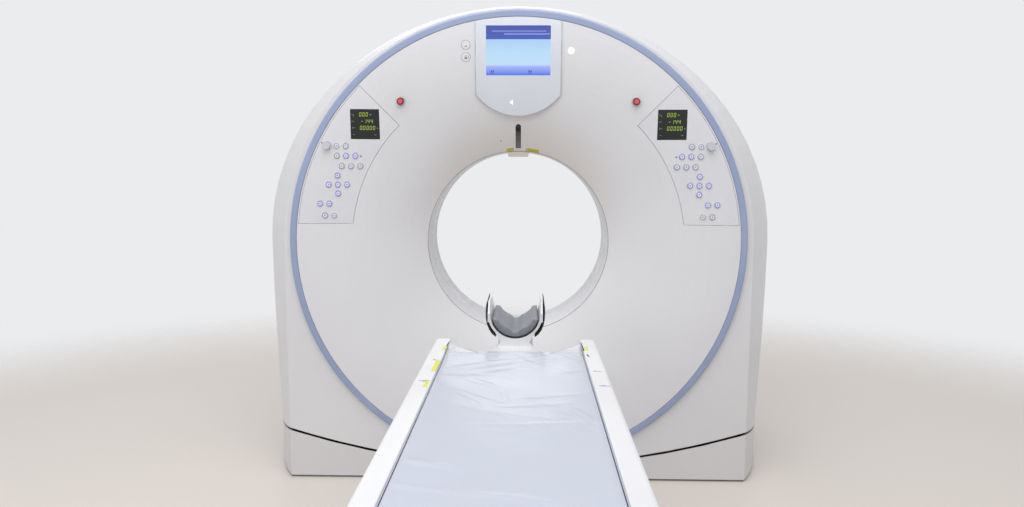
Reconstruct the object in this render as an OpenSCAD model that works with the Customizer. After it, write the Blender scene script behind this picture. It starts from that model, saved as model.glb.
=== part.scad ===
// CT scanner: a tilting gantry on a low floor base, and a lifting couch whose top slides through the bore.
// The origin is on the floor, below the crossing of the bore axis and the tilt axis.
// +X is to the right seen from the couch, +Y runs from the couch through the bore, +Z is up.

/* [Gantry casing] */
// Height of the bore axis and the tilt axis above the floor
iso_h = 1020; // [1000:1:1060]
// Overall width of the casing at the height of the bore axis
gantry_w = 2270; // [2230:1:2330]
// Crown of the casing above the bore axis
crown_r = 1020; // [1005:1:1060]
// Tilt axis to the casing's front face
face_y = 325; // [315:1:330]
// Half width of the front face
face_half_w = 978; // [970:1:990]
// Top edge of the front face above the bore axis
face_top_r = 957; // [954:1:970]
// Tilt axis to where the casing is widest, seen from the side
crown_front_y = 60; // [20:1:100]
// Tilt axis to the joint between outer shell and rear cover
crown_rear_y = 330; // [320:1:350]
// Tilt axis to the rear face
rear_y = 640; // [635:1:690]
// Half width of the rear face
rear_half_w = 1040; // [1030:1:1060]
// Top edge of the rear face above the bore axis
rear_top_r = 900; // [880:1:930]
// How much the sides draw in from the bore axis down to the floor
side_taper = 30; // [10:1:40]
// Wall of the moulded covers
cover_t = 5; // [4:0.5:6]

/* [Tilt seam] */
// Height of the seam at the middle of the front face
seam_mid_h = 68; // [60:1:76]
// Height of the seam at the front corners
seam_corner_h = 221; // [215:1:230]
// Gap between the tilting casing and the base covers
seam_gap = 10; // [8:0.5:14]
// Largest radius that any low tilting part reaches about the tilt axis
sweep_r_max = 985; // [975:1:988]
// Width of the turned-in lip along the top edge of the base covers
lip_w = 16; // [8:1:24]

/* [Front bowl] */
// Diameter of the patient bore
bore_d = 780; // [740:1:790]
// Inner radius of the blue ring
ring_in_r = 921; // [915:1:924]
// Outer radius of the blue ring
ring_out_r = 951; // [946:1:953]
// How far the ring stands out of the casing's front face
ring_proud = 20; // [12:1:24]
// Depth of the bowl from the ring to the edge of the bore
bowl_depth = 145; // [130:1:150]
// Half length of the thin scan window about the scan plane
window_half = 45; // [30:1:60]
// Wall of the scan window
window_t = 2.5; // [2:0.5:4]
// Radius of the rear funnel's mouth
rear_mouth_r = 620; // [580:1:660]

/* [Front fittings] */
// Half width of the display housing
display_half_w = 173; // [160:1:185]
// Lowest point of the display housing above the bore axis
display_low = 533; // [525:1:545]
// Where the display housing's straight sides end, above the bore axis
display_side = 616; // [605:1:630]
// Width of the screen
screen_w = 260; // [230:1:270]
// Height of the screen
screen_h = 193; // [170:1:200]
// Lower edge of the screen above the bore axis
screen_low = 692; // [685:1:700]
// Inner radius of the control panels
panel_in_r = 693; // [685:1:700]
// Lower edge of the control panels above the bore axis
panel_low = 85; // [75:1:95]
// Angle of the control panels' upper edge above the horizontal
panel_angle = 45.2; // [44:0.1:47]
// Width of a readout
readout_w = 117; // [110:1:122]
// Height of a readout
readout_h = 121; // [112:1:126]
// Readout centre, sideways from the bore axis
readout_x = 627; // [620:1:632]
// Readout centre above the bore axis
readout_z = 494; // [488:1:500]
// Diameter of a key
key_d = 25; // [20:0.5:27]
// Spacing of the keys
key_pitch = 37; // [34:0.5:40]
// Diameter of the emergency stop buttons
stop_d = 30; // [24:1:36]
// Emergency stop, sideways from the bore axis
stop_x = 479; // [470:1:490]
// Emergency stop above the bore axis
stop_z = 586; // [576:1:596]
// Width of the laser slot
laser_w = 23; // [16:1:30]
// Top of the laser slot above the bore axis
laser_top = 501; // [480:1:510]

/* [Tilt support] */
// Sideways room from an upright's inner face to the casing's widest line
upright_room = 235; // [230:1:238]
// Thickness of an upright
upright_t = 45; // [40:1:48]
// Radius of an upright's bearing boss
boss_r = 95; // [88:1:104]
// Half width of an upright at its foot
foot_half = 46; // [36:1:48]
// How far the foot lies behind the tilt axis
foot_y = 200; // [195:1:205]
// Radius of the trunnion pins
trunnion_r = 60; // [50:1:66]
// Tooth size of the tilt gears, as a module
tilt_module = 8; // [6:0.5:8]
// Teeth that the sector's full circle would have
sector_teeth = 100; // [96:1:104]
// Teeth on the tilt pinion
pinion_teeth = 15; // [13:1:17]
// Thickness of the base plate
plate_t = 18; // [14:1:20]
// Radius of the floor anchor holes
anchor_r = 9; // [7:0.5:11]
// Spacing of the gantry's floor anchors across the bore
anchor_dx = 1700; // [1600:1:1720]
// Spacing of the gantry's floor anchors along the bore
anchor_dy = 760; // [700:1:780]

/* [Rotor] */
// Radial room between the rotor and the ring frame's outer edge
rotor_room = 80; // [72:1:90]
// Inner radius of the tilting ring frame
frame_in_r = 540; // [530:1:560]
// Gap between the tilting ring frame and an upright
frame_gap = 20; // [18:1:30]
// Parting radius of the main bearing
bearing_r = 500; // [490:1:508]
// Tilt axis to the front of the ring frame's plate
frame_plate_y = 150; // [145:1:165]
// Thickness of the ring frame's plate
frame_plate_t = 35; // [25:1:40]
// Arc of the detector, in degrees
detector_arc = 62; // [50:1:70]

/* [Couch] */
// Height of the mattress top at rest
couch_h = 741; // [730:1:760]
// Width between the side rails
channel_w = 452; // [440:1:460]
// Width of a side rail
rail_w = 54; // [48:1:60]
// Height of a side rail
rail_h = 141; // [130:1:150]
// Rail ends, in front of the tilt axis
rail_end = 850; // [845:1:870]
// Foot end of the couch, in front of the tilt axis
foot_end = 3330; // [3250:1:3400]
// Thickness of the mattress
mattress_t = 24; // [18:1:28]
// Width of the mattress
mattress_w = 446; // [430:1:448]
// Head end of the mattress, in front of the tilt axis
mattress_end = 1015; // [1000:1:1040]
// Width of the carbon tabletop
top_w = 430; // [400:1:436]
// Thickness of the tabletop at its edges
top_edge = 11; // [8:1:13]
// Depth of the tabletop at its middle
top_mid = 62; // [50:1:64]
// Head end of the tabletop, in front of the tilt axis
top_end = 935; // [925:1:950]
// Radius of the table's drive screw
screw_r = 10; // [8:0.5:11]

/* [Couch base] */
// Near end of the couch base, in front of the tilt axis
base_near = 1340; // [1300:1:1400]
// Length of the couch base
base_l = 1320; // [1200:1:1400]
// Width of the couch's lowest cover
base_w = 524; // [500:1:540]
// Height of the lowest cover
lower_cover_h = 300; // [290:1:305]
// Width of the lifting column
column_w = 260; // [220:1:280]
// Length of the lifting column
column_l = 420; // [360:1:460]
// Wall of the column tubes
column_t = 12; // [10:1:14]

/* [Headrest] */
// Overall width of the head cup
cup_w = 212; // [200:1:220]
// Length of the head cup
cup_l = 280; // [260:1:290]
// Tip of the head cup, in front of the tilt axis
cup_tip = 578; // [570:1:590]
// Top of the cup's side fins above the mattress top
fin_up = 128; // [110:1:135]

/* [Hidden] */
$fn = 96;

// Gaps: between pieces that slide, round turning pins, and between panels of one cover
slide_gap = 0.3;
run_gap = 0.05;
panel_gap = 1.5;
// Overshoot that keeps a cut clear of the face it passes
over = 1;
big = 4000;

// Angles, steps and facets of the swept shapes
arc_step = 5;
side_steps = 4;
seam_step = 160;
belly_steps = 18;
bowl_step = 38;

function sq(v) = v * v;
function mix(a, b, k) = a + (b - a) * k;

bore_r = bore_d / 2;
casing_half_w = gantry_w / 2;
upright_x = casing_half_w - upright_room;
frame_out_r = min(upright_x - frame_gap, crown_r - 140);
rotor_r = frame_out_r - rotor_room;
ring_y = face_y + ring_proud;
throat_y = ring_y - bowl_depth;
seam_rise = (seam_corner_h - seam_mid_h) / sq(face_half_w);

// How far the casing has swelled at depth y, from 0 at its ends to 1 at the crown
function swell(y) =
    y < crown_front_y ? 1 - sq((crown_front_y - y) / (crown_front_y + face_y))
    : y > crown_rear_y ? 1 - sq((y - crown_rear_y) / (rear_y - crown_rear_y))
    : 1;
function end_w(y) = y < crown_front_y ? face_half_w : rear_half_w;
function end_r(y) = y < crown_front_y ? face_top_r : rear_top_r;
function half_w(y) = mix(end_w(y), casing_half_w, swell(y));
function top_r(y) = mix(end_r(y), crown_r, swell(y));
// The front face has upright sides; the rear face keeps a third of the taper
function low_half_w(y) = half_w(y) - side_taper * (y > 0 ? max(swell(y), 1 / 3) : swell(y));

// Radius about the tilt axis, at the sideways place x, that the seam and the belly follow
function seam_h(x) = seam_mid_h + seam_rise * sq(x);
function seam_r(x) = min(sqrt(sq(iso_h - seam_h(x)) + sq(face_y)), sweep_r_max);
function belly_z(x, y, inset) = iso_h - sqrt(sq(seam_r(x) - inset) - sq(y));

// Half width of the casing at depth y and height z: it draws in down to the seam
function side_w(y, z) =
    mix(half_w(y), low_half_w(y), sq(min(1, (iso_h - z) / (iso_h - seam_corner_h))));

// One section of the casing at depth y, seen from the front: right side, elliptical crown,
// left side and the belly, which turns about the tilt axis
function section(y, inset) =
    let (corner_z = belly_z(low_half_w(y) - inset, y, inset))
    let (corner_x = side_w(y, corner_z) - inset)
    concat(
        [for (j = [0 : side_steps - 1]) let (z = mix(corner_z, iso_h, j / side_steps))
            [side_w(y, z) - inset, z]],
        [for (a = [0 : arc_step : 180])
            [(half_w(y) - inset) * cos(a), iso_h + (top_r(y) - inset) * sin(a)]],
        [for (j = [1 : side_steps]) let (z = mix(iso_h, corner_z, j / side_steps))
            [inset - side_w(y, z), z]],
        [for (j = [1 : belly_steps - 1]) let (x = corner_x * (2 * j / belly_steps - 1))
            [x, belly_z(x, y, inset)]]
    );

// Thin wall skinned over the casing's sections, closed at its first depth and open at its last
module casing_wall(ys) {
    n = len(section(0, 0));
    k = len(ys);
    way = sign(ys[k - 1] - ys[0]);
    depths = concat(ys, [ys[0] + way * cover_t], [for (i = [1 : k - 1]) ys[i]]);
    points = [for (i = [0 : 2 * k - 1]) for (p = section(depths[i], i < k ? 0 : cover_t))
        [p[0], depths[i], p[1]]];
    outside = concat([[for (j = [n - 1 : -1 : 0]) j]],
        [for (i = [0 : k - 2], j = [0 : n - 1], half = [0, 1])
            let (a = i * n + j, b = i * n + (j + 1) % n)
            half == 0 ? [a, b, b + n] : [a, b + n, a + n]]);
    inside = [for (f = outside) [for (i = [len(f) - 1 : -1 : 0]) f[i] + k * n]];
    edge = [for (j = [0 : n - 1], half = [0, 1])
        let (a = (k - 1) * n + j, b = (k - 1) * n + (j + 1) % n)
        half == 0 ? [a, b, b + k * n] : [a, b + k * n, a + k * n]];
    faces = concat(outside, inside, edge);
    polyhedron(points, way > 0 ? faces : [for (f = faces) [for (i = [len(f) - 1 : -1 : 0]) f[i]]]);
}
front_ys = concat([for (k = [1, 0.86, 0.7, 0.5, 0.25]) -face_y * k], [0, crown_front_y],
    [for (k = [0.33, 0.67, 1]) mix(crown_front_y, crown_rear_y, k)]);
rear_ys = [for (k = [0, 0.25, 0.47, 0.67, 0.84, 1]) mix(crown_rear_y, rear_y, k)];

module about_tilt_axis() {
    translate([0, 0, iso_h]) rotate([0, 90, 0]) children();
}
module about_bore_axis() {
    translate([0, 0, iso_h]) rotate([-90, 0, 0]) children();
}
// Barrel about the tilt axis that holds all the low tilting parts
module barrel(grow) {
    reach = seam_step * 8;
    about_tilt_axis() rotate_extrude($fn = 180)
        polygon(concat([[0, -reach]],
            [for (x = [-reach : seam_step : reach]) [seam_r(x) + grow, x]],
            [[0, reach]]));
}
// Everything low down that lies outside the barrel
module under_seam(grow) {
    difference() {
        translate([-big / 2, -big / 2, -big + iso_h * 0.7]) cube(big);
        barrel(grow);
    }
}

// Bowl surface: how far in front of the tilt axis the front cover lies at the radius r
function bowl_y(r) = -ring_y + bowl_depth * sq((ring_in_r - r) / (ring_in_r - bore_r));
module band(r0, r1, front, back) {
    steps = ceil((r1 - r0) / bowl_step);
    rs = [for (i = [0 : steps]) mix(r0, r1, i / steps)];
    about_bore_axis() rotate_extrude($fn = 180)
        polygon(concat(
            [for (r = rs) [r, bowl_y(r) - front]],
            [for (i = [steps : -1 : 0]) [rs[i], bowl_y(rs[i]) + back]]));
}
module ring_solid(r0, r1, y0, y1) {
    about_bore_axis() translate([0, 0, y0]) difference() {
        cylinder(r = r1, h = y1 - y0, $fn = 180);
        translate([0, 0, -over]) cylinder(r = r0, h = y1 - y0 + 2 * over, $fn = 180);
    }
}
// Extrudes a drawing seen from the front, with its origin on the bore axis, from y0 to y1
module seen_front(y0, y1) {
    translate([0, y1, iso_h]) rotate([90, 0, 0]) linear_extrude(y1 - y0) children();
}
// Extrudes a drawing of y and z, from x0 to x1
module seen_side(x0, x1) {
    translate([x0, 0, 0]) rotate([90, 0, 90]) linear_extrude(x1 - x0) children();
}
module seen_front_floor(y0, y1) {
    translate([0, y1, 0]) rotate([90, 0, 0]) linear_extrude(y1 - y0) children();
}
module block(x0, x1, y0, y1, z0, z1) {
    translate([x0, y0, z0]) cube([x1 - x0, y1 - y0, z1 - z0]);
}
module both_sides() {
    children();
    mirror([1, 0, 0]) children();
}
module round_rect(w, h, r) {
    hull() for (x = [r - w / 2, w / 2 - r], y = [r - h / 2, h / 2 - r])
        translate([x, y]) circle(r = r, $fn = 32);
}

// Gantry base
plan_ys = concat(front_ys, [for (i = [1 : len(rear_ys) - 1]) rear_ys[i]]);
module base_plan(inset) {
    last = len(plan_ys) - 1;
    y_at = [for (y = plan_ys) min(max(y, inset - face_y), rear_y - inset)];
    polygon(concat(
        [for (i = [0 : last]) [low_half_w(y_at[i]) - inset, y_at[i]]],
        [for (i = [last : -1 : 0]) [inset - low_half_w(y_at[i]), y_at[i]]]));
}
kick_gap = 9;
sill_in_x = upright_x - 30;
sill_out_x = upright_x + 110;
sill_h = 105;
sill_front = 210;
sill_rear = 560;
cover_split_y = 40;

module base_frame() {
    color("dimgray") difference() {
        union() {
            linear_extrude(plate_t) base_plan(cover_t);
            both_sides() block(sill_in_x, sill_out_x, -sill_front, sill_rear, plate_t, sill_h);
            block(-sill_in_x, sill_in_x, sill_rear - 90, sill_rear, plate_t, sill_h);
        }
        for (x = [-1, 1], y = [-1, 1])
            translate([x * anchor_dx / 2, y * anchor_dy / 2 + 150, -over])
                cylinder(r = anchor_r, h = plate_t + 2 * over);
        both_sides() block(sill_in_x + 12, sill_out_x - 12, -sill_front + 12, sill_rear - 12,
                           plate_t + over, sill_h - 12);
    }
}

module base_skin() {
    intersection() {
        under_seam(seam_gap);
        union() {
            translate([0, 0, kick_gap]) linear_extrude(iso_h) difference() {
                base_plan(0);
                base_plan(cover_t);
            }
            intersection() {
                linear_extrude(iso_h) difference() {
                    base_plan(over);
                    base_plan(cover_t + lip_w);
                }
                barrel(seam_gap + cover_t);
            }
        }
    }
}
module base_front_cover() {
    color("gainsboro") intersection() {
        base_skin();
        block(-big, big, -big, cover_split_y - panel_gap / 2, 0, big);
    }
}
module base_rear_cover() {
    color("gainsboro") intersection() {
        base_skin();
        block(-big, big, cover_split_y + panel_gap / 2, big, 0, big);
    }
}

// Tilt support
pitch_r = tilt_module * sector_teeth / 2;
pinion_r = tilt_module * pinion_teeth / 2;
mesh_d = pitch_r + pinion_r;
foot_drop = iso_h - sill_h;
foot_angle = atan2(foot_y, foot_drop);
pinion_y = mesh_d * sin(foot_angle);
pinion_z = iso_h - mesh_d * cos(foot_angle);
shaft_r = 22;
shaft_in = 40;
sector_t = 14;
sector_x = upright_x - 3 - sector_t;

module upright() {
    difference() {
        union() {
            seen_side(upright_x, upright_x + upright_t) union() {
                translate([0, iso_h]) circle(r = boss_r);
                polygon([
                    [foot_y - foot_half, sill_h], [foot_y + foot_half, sill_h],
                    [boss_r * cos(foot_angle), iso_h + boss_r * sin(foot_angle)],
                    [-boss_r * cos(foot_angle), iso_h - boss_r * sin(foot_angle)]]);
            }
            block(upright_x - 20, upright_x + upright_t + 20, foot_y - 90, foot_y + 90,
                  sill_h, sill_h + 16);
        }
        about_tilt_axis() translate([0, 0, upright_x - over])
            cylinder(r = trunnion_r + run_gap, h = upright_t + 2 * over);
        translate([upright_x - over, pinion_y, pinion_z]) rotate([0, 90, 0])
            cylinder(r = shaft_r + run_gap, h = upright_t + 2 * over);
    }
}
module right_upright() { color("slategray") upright(); }
module left_upright() { color("slategray") mirror([1, 0, 0]) upright(); }

module tilt_drive_unit() {
    x0 = upright_x + upright_t;
    color("darkslategray") mirror([1, 0, 0]) difference() {
        union() {
            block(x0, x0 + 70, pinion_y - 50, pinion_y + 50, pinion_z - 50, pinion_z + 50);
            translate([x0 + 40, pinion_y - 8, pinion_z + 50]) cylinder(r = 38, h = 190);
        }
        translate([x0 - over, pinion_y, pinion_z]) rotate([0, 90, 0])
            cylinder(r = shaft_r + run_gap, h = shaft_in + 5);
    }
}

// Teeth of a spur gear with straight flanks, from tooth to tooth round its own axis
module gear_2d(r, teeth, m, from, to) {
    step = 360 / teeth;
    for (i = [from : to]) rotate(i * step)
        polygon([
            [r - 1.3 * m, -0.31 * step * PI / 180 * r], [r, -0.235 * step * PI / 180 * r],
            [r + 0.9 * m, -0.12 * step * PI / 180 * r], [r + 0.9 * m, 0.12 * step * PI / 180 * r],
            [r, 0.235 * step * PI / 180 * r], [r - 1.3 * m, 0.31 * step * PI / 180 * r]]);
}
module tilt_pinion() {
    color("silver") translate([-sector_x - sector_t, pinion_y, pinion_z]) rotate([0, 90, 0]) {
        rotate(180 + foot_angle + 180 / pinion_teeth) linear_extrude(sector_t) union() {
            circle(r = pinion_r - 1.2 * tilt_module);
            gear_2d(pinion_r, pinion_teeth, tilt_module, 0, pinion_teeth - 1);
        }
        translate([0, 0, -upright_t - 3 - shaft_in])
            cylinder(r = shaft_r, h = upright_t + 3 + shaft_in + over);
    }
}

// Tilting frame
boss_x = sector_x;
plate_end = frame_plate_y + frame_plate_t;
hole_r = 70;
// Point on the casing's inner face, at the angle a, in the plane of the frame's plate
function skin_point(a) = [(half_w(frame_plate_y) - cover_t - slide_gap) * cos(a),
                          (top_r(frame_plate_y) - cover_t - slide_gap) * sin(a)];
module frame_arm(from, to) {
    tips = [for (a = [from : arc_step : to]) skin_point(a)];
    roots = [for (i = [len(tips) - 1 : -1 : 0]) tips[i] * (frame_out_r - 10) / norm(tips[i])];
    seen_front(frame_plate_y, plate_end) polygon(concat(tips, roots));
}
module tilt_frame() {
    color("slategray") difference() {
        union() {
            ring_solid(frame_in_r, frame_out_r, frame_plate_y, plate_end);
            ring_solid(frame_out_r - 20, frame_out_r, -100, plate_end);
            both_sides() {
                intersection() {
                    about_tilt_axis() translate([0, 0, frame_out_r - 60])
                        cylinder(r = 110, h = boss_x - frame_out_r + 60);
                    difference() {
                        block(0, big, -big, big, 0, big);
                        ring_solid(0, frame_out_r - 20, -big / 2, frame_plate_y);
                    }
                }
                about_tilt_axis() translate([0, 0, boss_x - over])
                    cylinder(r = trunnion_r, h = upright_x + upright_t + 12 - boss_x + over);
                frame_arm(arc_step, 2 * arc_step);
                frame_arm(9 * arc_step, 10 * arc_step);
            }
            frame_arm(90 - arc_step, 90 + arc_step);
        }
        for (a = [20 : 40 : 340])
            rotate_on_bore(a) translate([(frame_in_r + frame_out_r) / 2 + 10, 0, 0])
                rotate([90, 0, 0]) translate([0, 0, -plate_end - over])
                    cylinder(r = hole_r, h = frame_plate_t + 2 * over);
    }
}
module rotate_on_bore(a) {
    translate([0, 0, iso_h]) rotate([0, -a, 0]) children();
}

sector_half = 38;
module tilt_sector_gear() {
    span = floor(sector_half / 360 * sector_teeth);
    color("silver") translate([-sector_x - sector_t, 0, iso_h]) rotate([0, 90, 0])
        rotate(foot_angle) linear_extrude(sector_t) difference() {
            union() {
                circle(r = 108);
                gear_2d(pitch_r, sector_teeth, tilt_module, -span, span);
                intersection() {
                    circle(r = pitch_r - 1.2 * tilt_module);
                    polygon([[0, 0], [2 * pitch_r, -2 * pitch_r * tan(sector_half)],
                             [2 * pitch_r, 2 * pitch_r * tan(sector_half)]]);
                }
            }
            circle(r = trunnion_r);
            for (a = [-24, 0, 24]) rotate(a) translate([pitch_r * 0.62, 0]) circle(r = 42);
        }
}

ring_seat_r = ring_in_r - 21;
upright_slot = 12;
module belly_slots() {
    both_sides() block(upright_x - upright_slot, upright_x + upright_t + upright_slot,
                       cover_t - face_y, rear_y - cover_t, -over, iso_h * 0.6);
}
joint_flange = 20;
module outer_shell() {
    color("gainsboro") difference() {
        union() {
            casing_wall(front_ys);
            // inward flange that stiffens the joint with the rear cover
            seen_front_floor(crown_rear_y - cover_t, crown_rear_y) difference() {
                polygon(section(crown_rear_y, cover_t / 2));
                polygon(section(crown_rear_y, cover_t + joint_flange));
            }
        }
        ring_solid(0, ring_seat_r, -face_y - over, cover_t - face_y + over);
        belly_slots();
    }
}
funnel_t = 4;
funnel_lip = 30;
vent_w = 170;
vent_pitch = 26;
vents = 9;
module rear_cover() {
    color("gainsboro") difference() {
        casing_wall([for (i = [len(rear_ys) - 1 : -1 : 0]) rear_ys[i]]);
        belly_slots();
        ring_solid(0, rear_mouth_r + funnel_t + slide_gap, rear_y - cover_t - over, rear_y + over);
        both_sides() for (i = [0 : vents - 1])
            block(rear_half_w - 120 - vent_w, rear_half_w - 120, rear_y - 2 * cover_t, rear_y + over,
                  iso_h + vent_pitch * (i - 16), iso_h + vent_pitch * (i - 16) + 10);
    }
}
// Front cover with its bowl, openings and button holes
rim_r = ring_in_r - 1;
panel_out_r = rim_r - 5;
module panel_zone(g) {
    low = panel_low + g;
    start = (g + low * cos(panel_angle)) / sin(panel_angle);
    reach = 1200;
    polygon([[start, low], [reach, low], [reach, (reach * sin(panel_angle) - g) / cos(panel_angle)]]);
}
module readout_shape() {
    translate([readout_x, readout_z]) square([readout_w, readout_h], center = true);
}
module laser_shape(g) {
    low = bore_r + 12;
    w = laser_w / 2 + g;
    translate([-w, low]) square([2 * w, laser_top - low - w]);
    translate([0, laser_top - w]) circle(r = w, $fn = 32);
}
stem_r = stop_d / 2 - 5;
module stop_place() {
    translate([stop_x, 0, iso_h + stop_z]) children();
}
stop_face = bowl_y(norm([stop_x, stop_z]));

// Places of the keys on the right panel, seen from the front
key_x = 745;
key_z = 248;
knob_place = [783, 406];
key_places = [
    [key_x, 406], [key_x - key_pitch, 406],
    [key_x, 366], [key_x - key_pitch, 366], [key_x - 2 * key_pitch, 366],
    [key_x - 0.5 * key_pitch, 324], [key_x - 1.5 * key_pitch, 324], [key_x - 2.5 * key_pitch, 324],
    [key_x, key_z + key_pitch], [key_x + key_pitch, key_z], [key_x, key_z],
    [key_x - key_pitch, key_z], [key_x, key_z - key_pitch],
    [key_x + 2 * key_pitch, 169], [key_x + key_pitch, 169],
    [key_x + 1.5 * key_pitch, 120], [key_x + 0.5 * key_pitch, 120]];
knob_r = 15;
knob_face = bowl_y(norm(knob_place));
tab_w = 96;
tab_drop = 24;
lamp_places = [[-212, 811, 17], [-212, 763, 17], [213, 787, 14]];

module front_cover() {
    color("whitesmoke") difference() {
        union() {
            band(bore_r, rim_r, 0, cover_t);
            ring_solid(rim_r - 4, rim_r, -ring_y, -face_y);
            ring_solid(bore_r, bore_r + 4, -throat_y, -window_half);
        }
        both_sides() intersection() {
            band(panel_in_r, panel_out_r, 2 * over, cover_t + over);
            seen_front(-ring_y - 10, -throat_y + 20) panel_zone(0);
        }
        seen_front(-ring_y - 10, -throat_y + 60) laser_shape(0);
        both_sides() stop_place() translate([0, stop_face - 20, 0]) rotate([-90, 0, 0])
            cylinder(r = stem_r + run_gap, h = 40);
        for (p = lamp_places) translate([p[0], -ring_y - 10, iso_h + p[1]]) rotate([-90, 0, 0])
            cylinder(r = p[2], h = 40);
    }
}
module bore_tab() {
    color("lightgray") seen_front(-throat_y + 2, -throat_y + 10) intersection() {
        circle(r = bore_r, $fn = 180);
        polygon([
            [-tab_w / 2, bore_r], [-tab_w / 2 + 6, bore_r - tab_drop],
            [tab_w / 2 - 6, bore_r - tab_drop], [tab_w / 2, bore_r]]);
    }
}
module accent_ring() {
    color("lightsteelblue") difference() {
        about_bore_axis() rotate_extrude($fn = 180) polygon([
            [ring_in_r, -face_y], [ring_in_r, -ring_y + 3], [ring_in_r + 3, -ring_y],
            [ring_out_r - 8, -ring_y], [ring_out_r - 2, -ring_y + 4], [ring_out_r, -ring_y + 10],
            [ring_out_r, -face_y]]);
        block(-face_half_w, face_half_w, -ring_y - over, over - face_y,
              0, iso_h - sqrt(sq(sweep_r_max) - sq(ring_y)));
    }
}
module rear_funnel() {
    steps = 10;
    start = window_half + 25;
    rs = [for (i = [0 : steps]) mix(bore_r, rear_mouth_r, sq(i / steps))];
    ys = [for (i = [0 : steps]) mix(start, rear_y, i / steps)];
    color("whitesmoke") about_bore_axis() rotate_extrude($fn = 180) polygon(concat(
        [[bore_r, window_half]],
        [for (i = [0 : steps]) [rs[i], ys[i]]],
        [[rear_mouth_r, rear_y + 4], [rear_mouth_r + funnel_lip, rear_y + 4],
         [rear_mouth_r + funnel_lip, rear_y]],
        [for (i = [steps : -1 : 0]) [rs[i] + funnel_t, ys[i]]],
        [[bore_r + funnel_t, window_half]]));
}
module scan_window() {
    color("lightgray") ring_solid(bore_r, bore_r + window_t, -window_half, window_half);
}

// Display housing: a tongue that follows the bowl and stands further out towards its tip
display_top = 906;
tip_steps = 24;
// Straight sides with a rounded tip, an arc through the two lower corners and the lowest point
module display_shape() {
    sag = display_side - display_low;
    r = (sq(display_half_w) + sq(sag)) / (2 * sag);
    half = asin(display_half_w / r);
    polygon(concat(
        [for (i = [0 : tip_steps]) let (a = half * (2 * i / tip_steps - 1))
            [r * sin(a), display_low + r * (1 - cos(a))]],
        [[display_half_w, 2 * display_side], [-display_half_w, 2 * display_side]]));
}
function display_lift(z) = 4 + 14 * (display_top - z) / (display_top - display_low);
module display_layer(front, back) {
    zs = [for (i = [0 : 12]) mix(display_low - 5, ring_in_r, i / 12)];
    seen_side(-big / 8, big / 8) polygon(concat(
        [for (z = zs) [bowl_y(z) - display_lift(z) - front, iso_h + z]],
        [for (i = [12 : -1 : 0]) [bowl_y(zs[i]) - display_lift(zs[i]) + back, iso_h + zs[i]]]));
}
module screen_shape() {
    translate([-screen_w / 2, screen_low]) square([screen_w, screen_h]);
}
module display_panel() {
    color("lavender") difference() {
        intersection() {
            display_layer(0, 60);
            seen_front(-ring_y - 40, 0) display_shape();
            ring_solid(0, rim_r - 5, -big / 4, 0);
        }
        band(bore_r, rim_r, 0, 200);
        intersection() {
            display_layer(20, 3);
            seen_front(-ring_y - 40, 0) screen_shape();
        }
    }
}
module touch_screen() {
    color("cornflowerblue") intersection() {
        display_layer(0.5, 3);
        seen_front(-ring_y - 40, 0) screen_shape();
    }
}

// Panel with a flange behind the front cover, and two ribs that locate it on its lower edge.
// The first and the last key locate the key mat, so they fit closely.
rib_w = 12;
flange_w = 8;
flange_back = cover_t + 3;
module control_panel() {
    last = len(key_places) - 1;
    difference() {
        union() {
            intersection() {
                band(panel_in_r + panel_gap, panel_out_r - panel_gap, 0, cover_t + over);
                seen_front(-ring_y - 10, 0) panel_zone(panel_gap);
            }
            intersection() {
                band(panel_in_r - flange_w, panel_out_r - panel_gap, -cover_t - slide_gap, flange_back);
                seen_front(-ring_y - 10, 0) panel_zone(-flange_w);
            }
            intersection() {
                band(panel_in_r, panel_out_r, -2 * over, cover_t + over);
                seen_front(-ring_y - 10, 0) for (x = [key_x, key_x + 3 * key_pitch])
                    translate([x, panel_low]) square([rib_w, 2 * panel_gap]);
            }
        }
        seen_front(-ring_y - 20, 0) readout_shape();
        for (i = [0 : last])
            key_cut(key_places[i], key_d / 2 + (i == 0 || i == last ? run_gap : 1));
        key_cut(knob_place, knob_r - 4 + run_gap);
    }
}
module key_cut(p, r) {
    translate([p[0], -ring_y - 20, iso_h + p[1]]) rotate([-90, 0, 0]) cylinder(r = r, h = 80);
}
module right_control_panel() { color("whitesmoke") control_panel(); }
module left_control_panel() { color("whitesmoke") mirror([1, 0, 0]) control_panel(); }
module readouts() {
    color("black") both_sides() intersection() {
        band(panel_in_r, panel_out_r - panel_gap, 0.5, flange_back);
        seen_front(-ring_y - 20, 0) readout_shape();
    }
}
module keypads() {
    color("lightsteelblue") both_sides() {
        intersection() {
            band(panel_in_r, rim_r - 6, 2.5, flange_back + over);
            union() for (p = key_places) key_cut(p, key_d / 2);
        }
        difference() {
            intersection() {
                band(panel_in_r, rim_r - 6, -flange_back - slide_gap, flange_back + 2);
                seen_front(-ring_y - 20, 0) polygon([
                    [key_x - 3.1 * key_pitch, 300], [key_x - 1.6 * key_pitch, 95],
                    [key_x + 2.6 * key_pitch, 95], [key_x + 2.6 * key_pitch, 230],
                    [key_x + 0.6 * key_pitch, 425], [key_x - 3.1 * key_pitch, 425]]);
            }
            key_cut(knob_place, knob_r + 6);
        }
    }
}
module hold_button() {
    color("gainsboro") translate([knob_place[0], knob_face, iso_h + knob_place[1]]) rotate([-90, 0, 0]) {
        translate([0, 0, -22]) cylinder(r = knob_r, h = 14);
        translate([0, 0, -9]) cylinder(r = knob_r - 4, h = 28);
    }
}
module right_hold_button() { hold_button(); }
module left_hold_button() { mirror([1, 0, 0]) hold_button(); }
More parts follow.
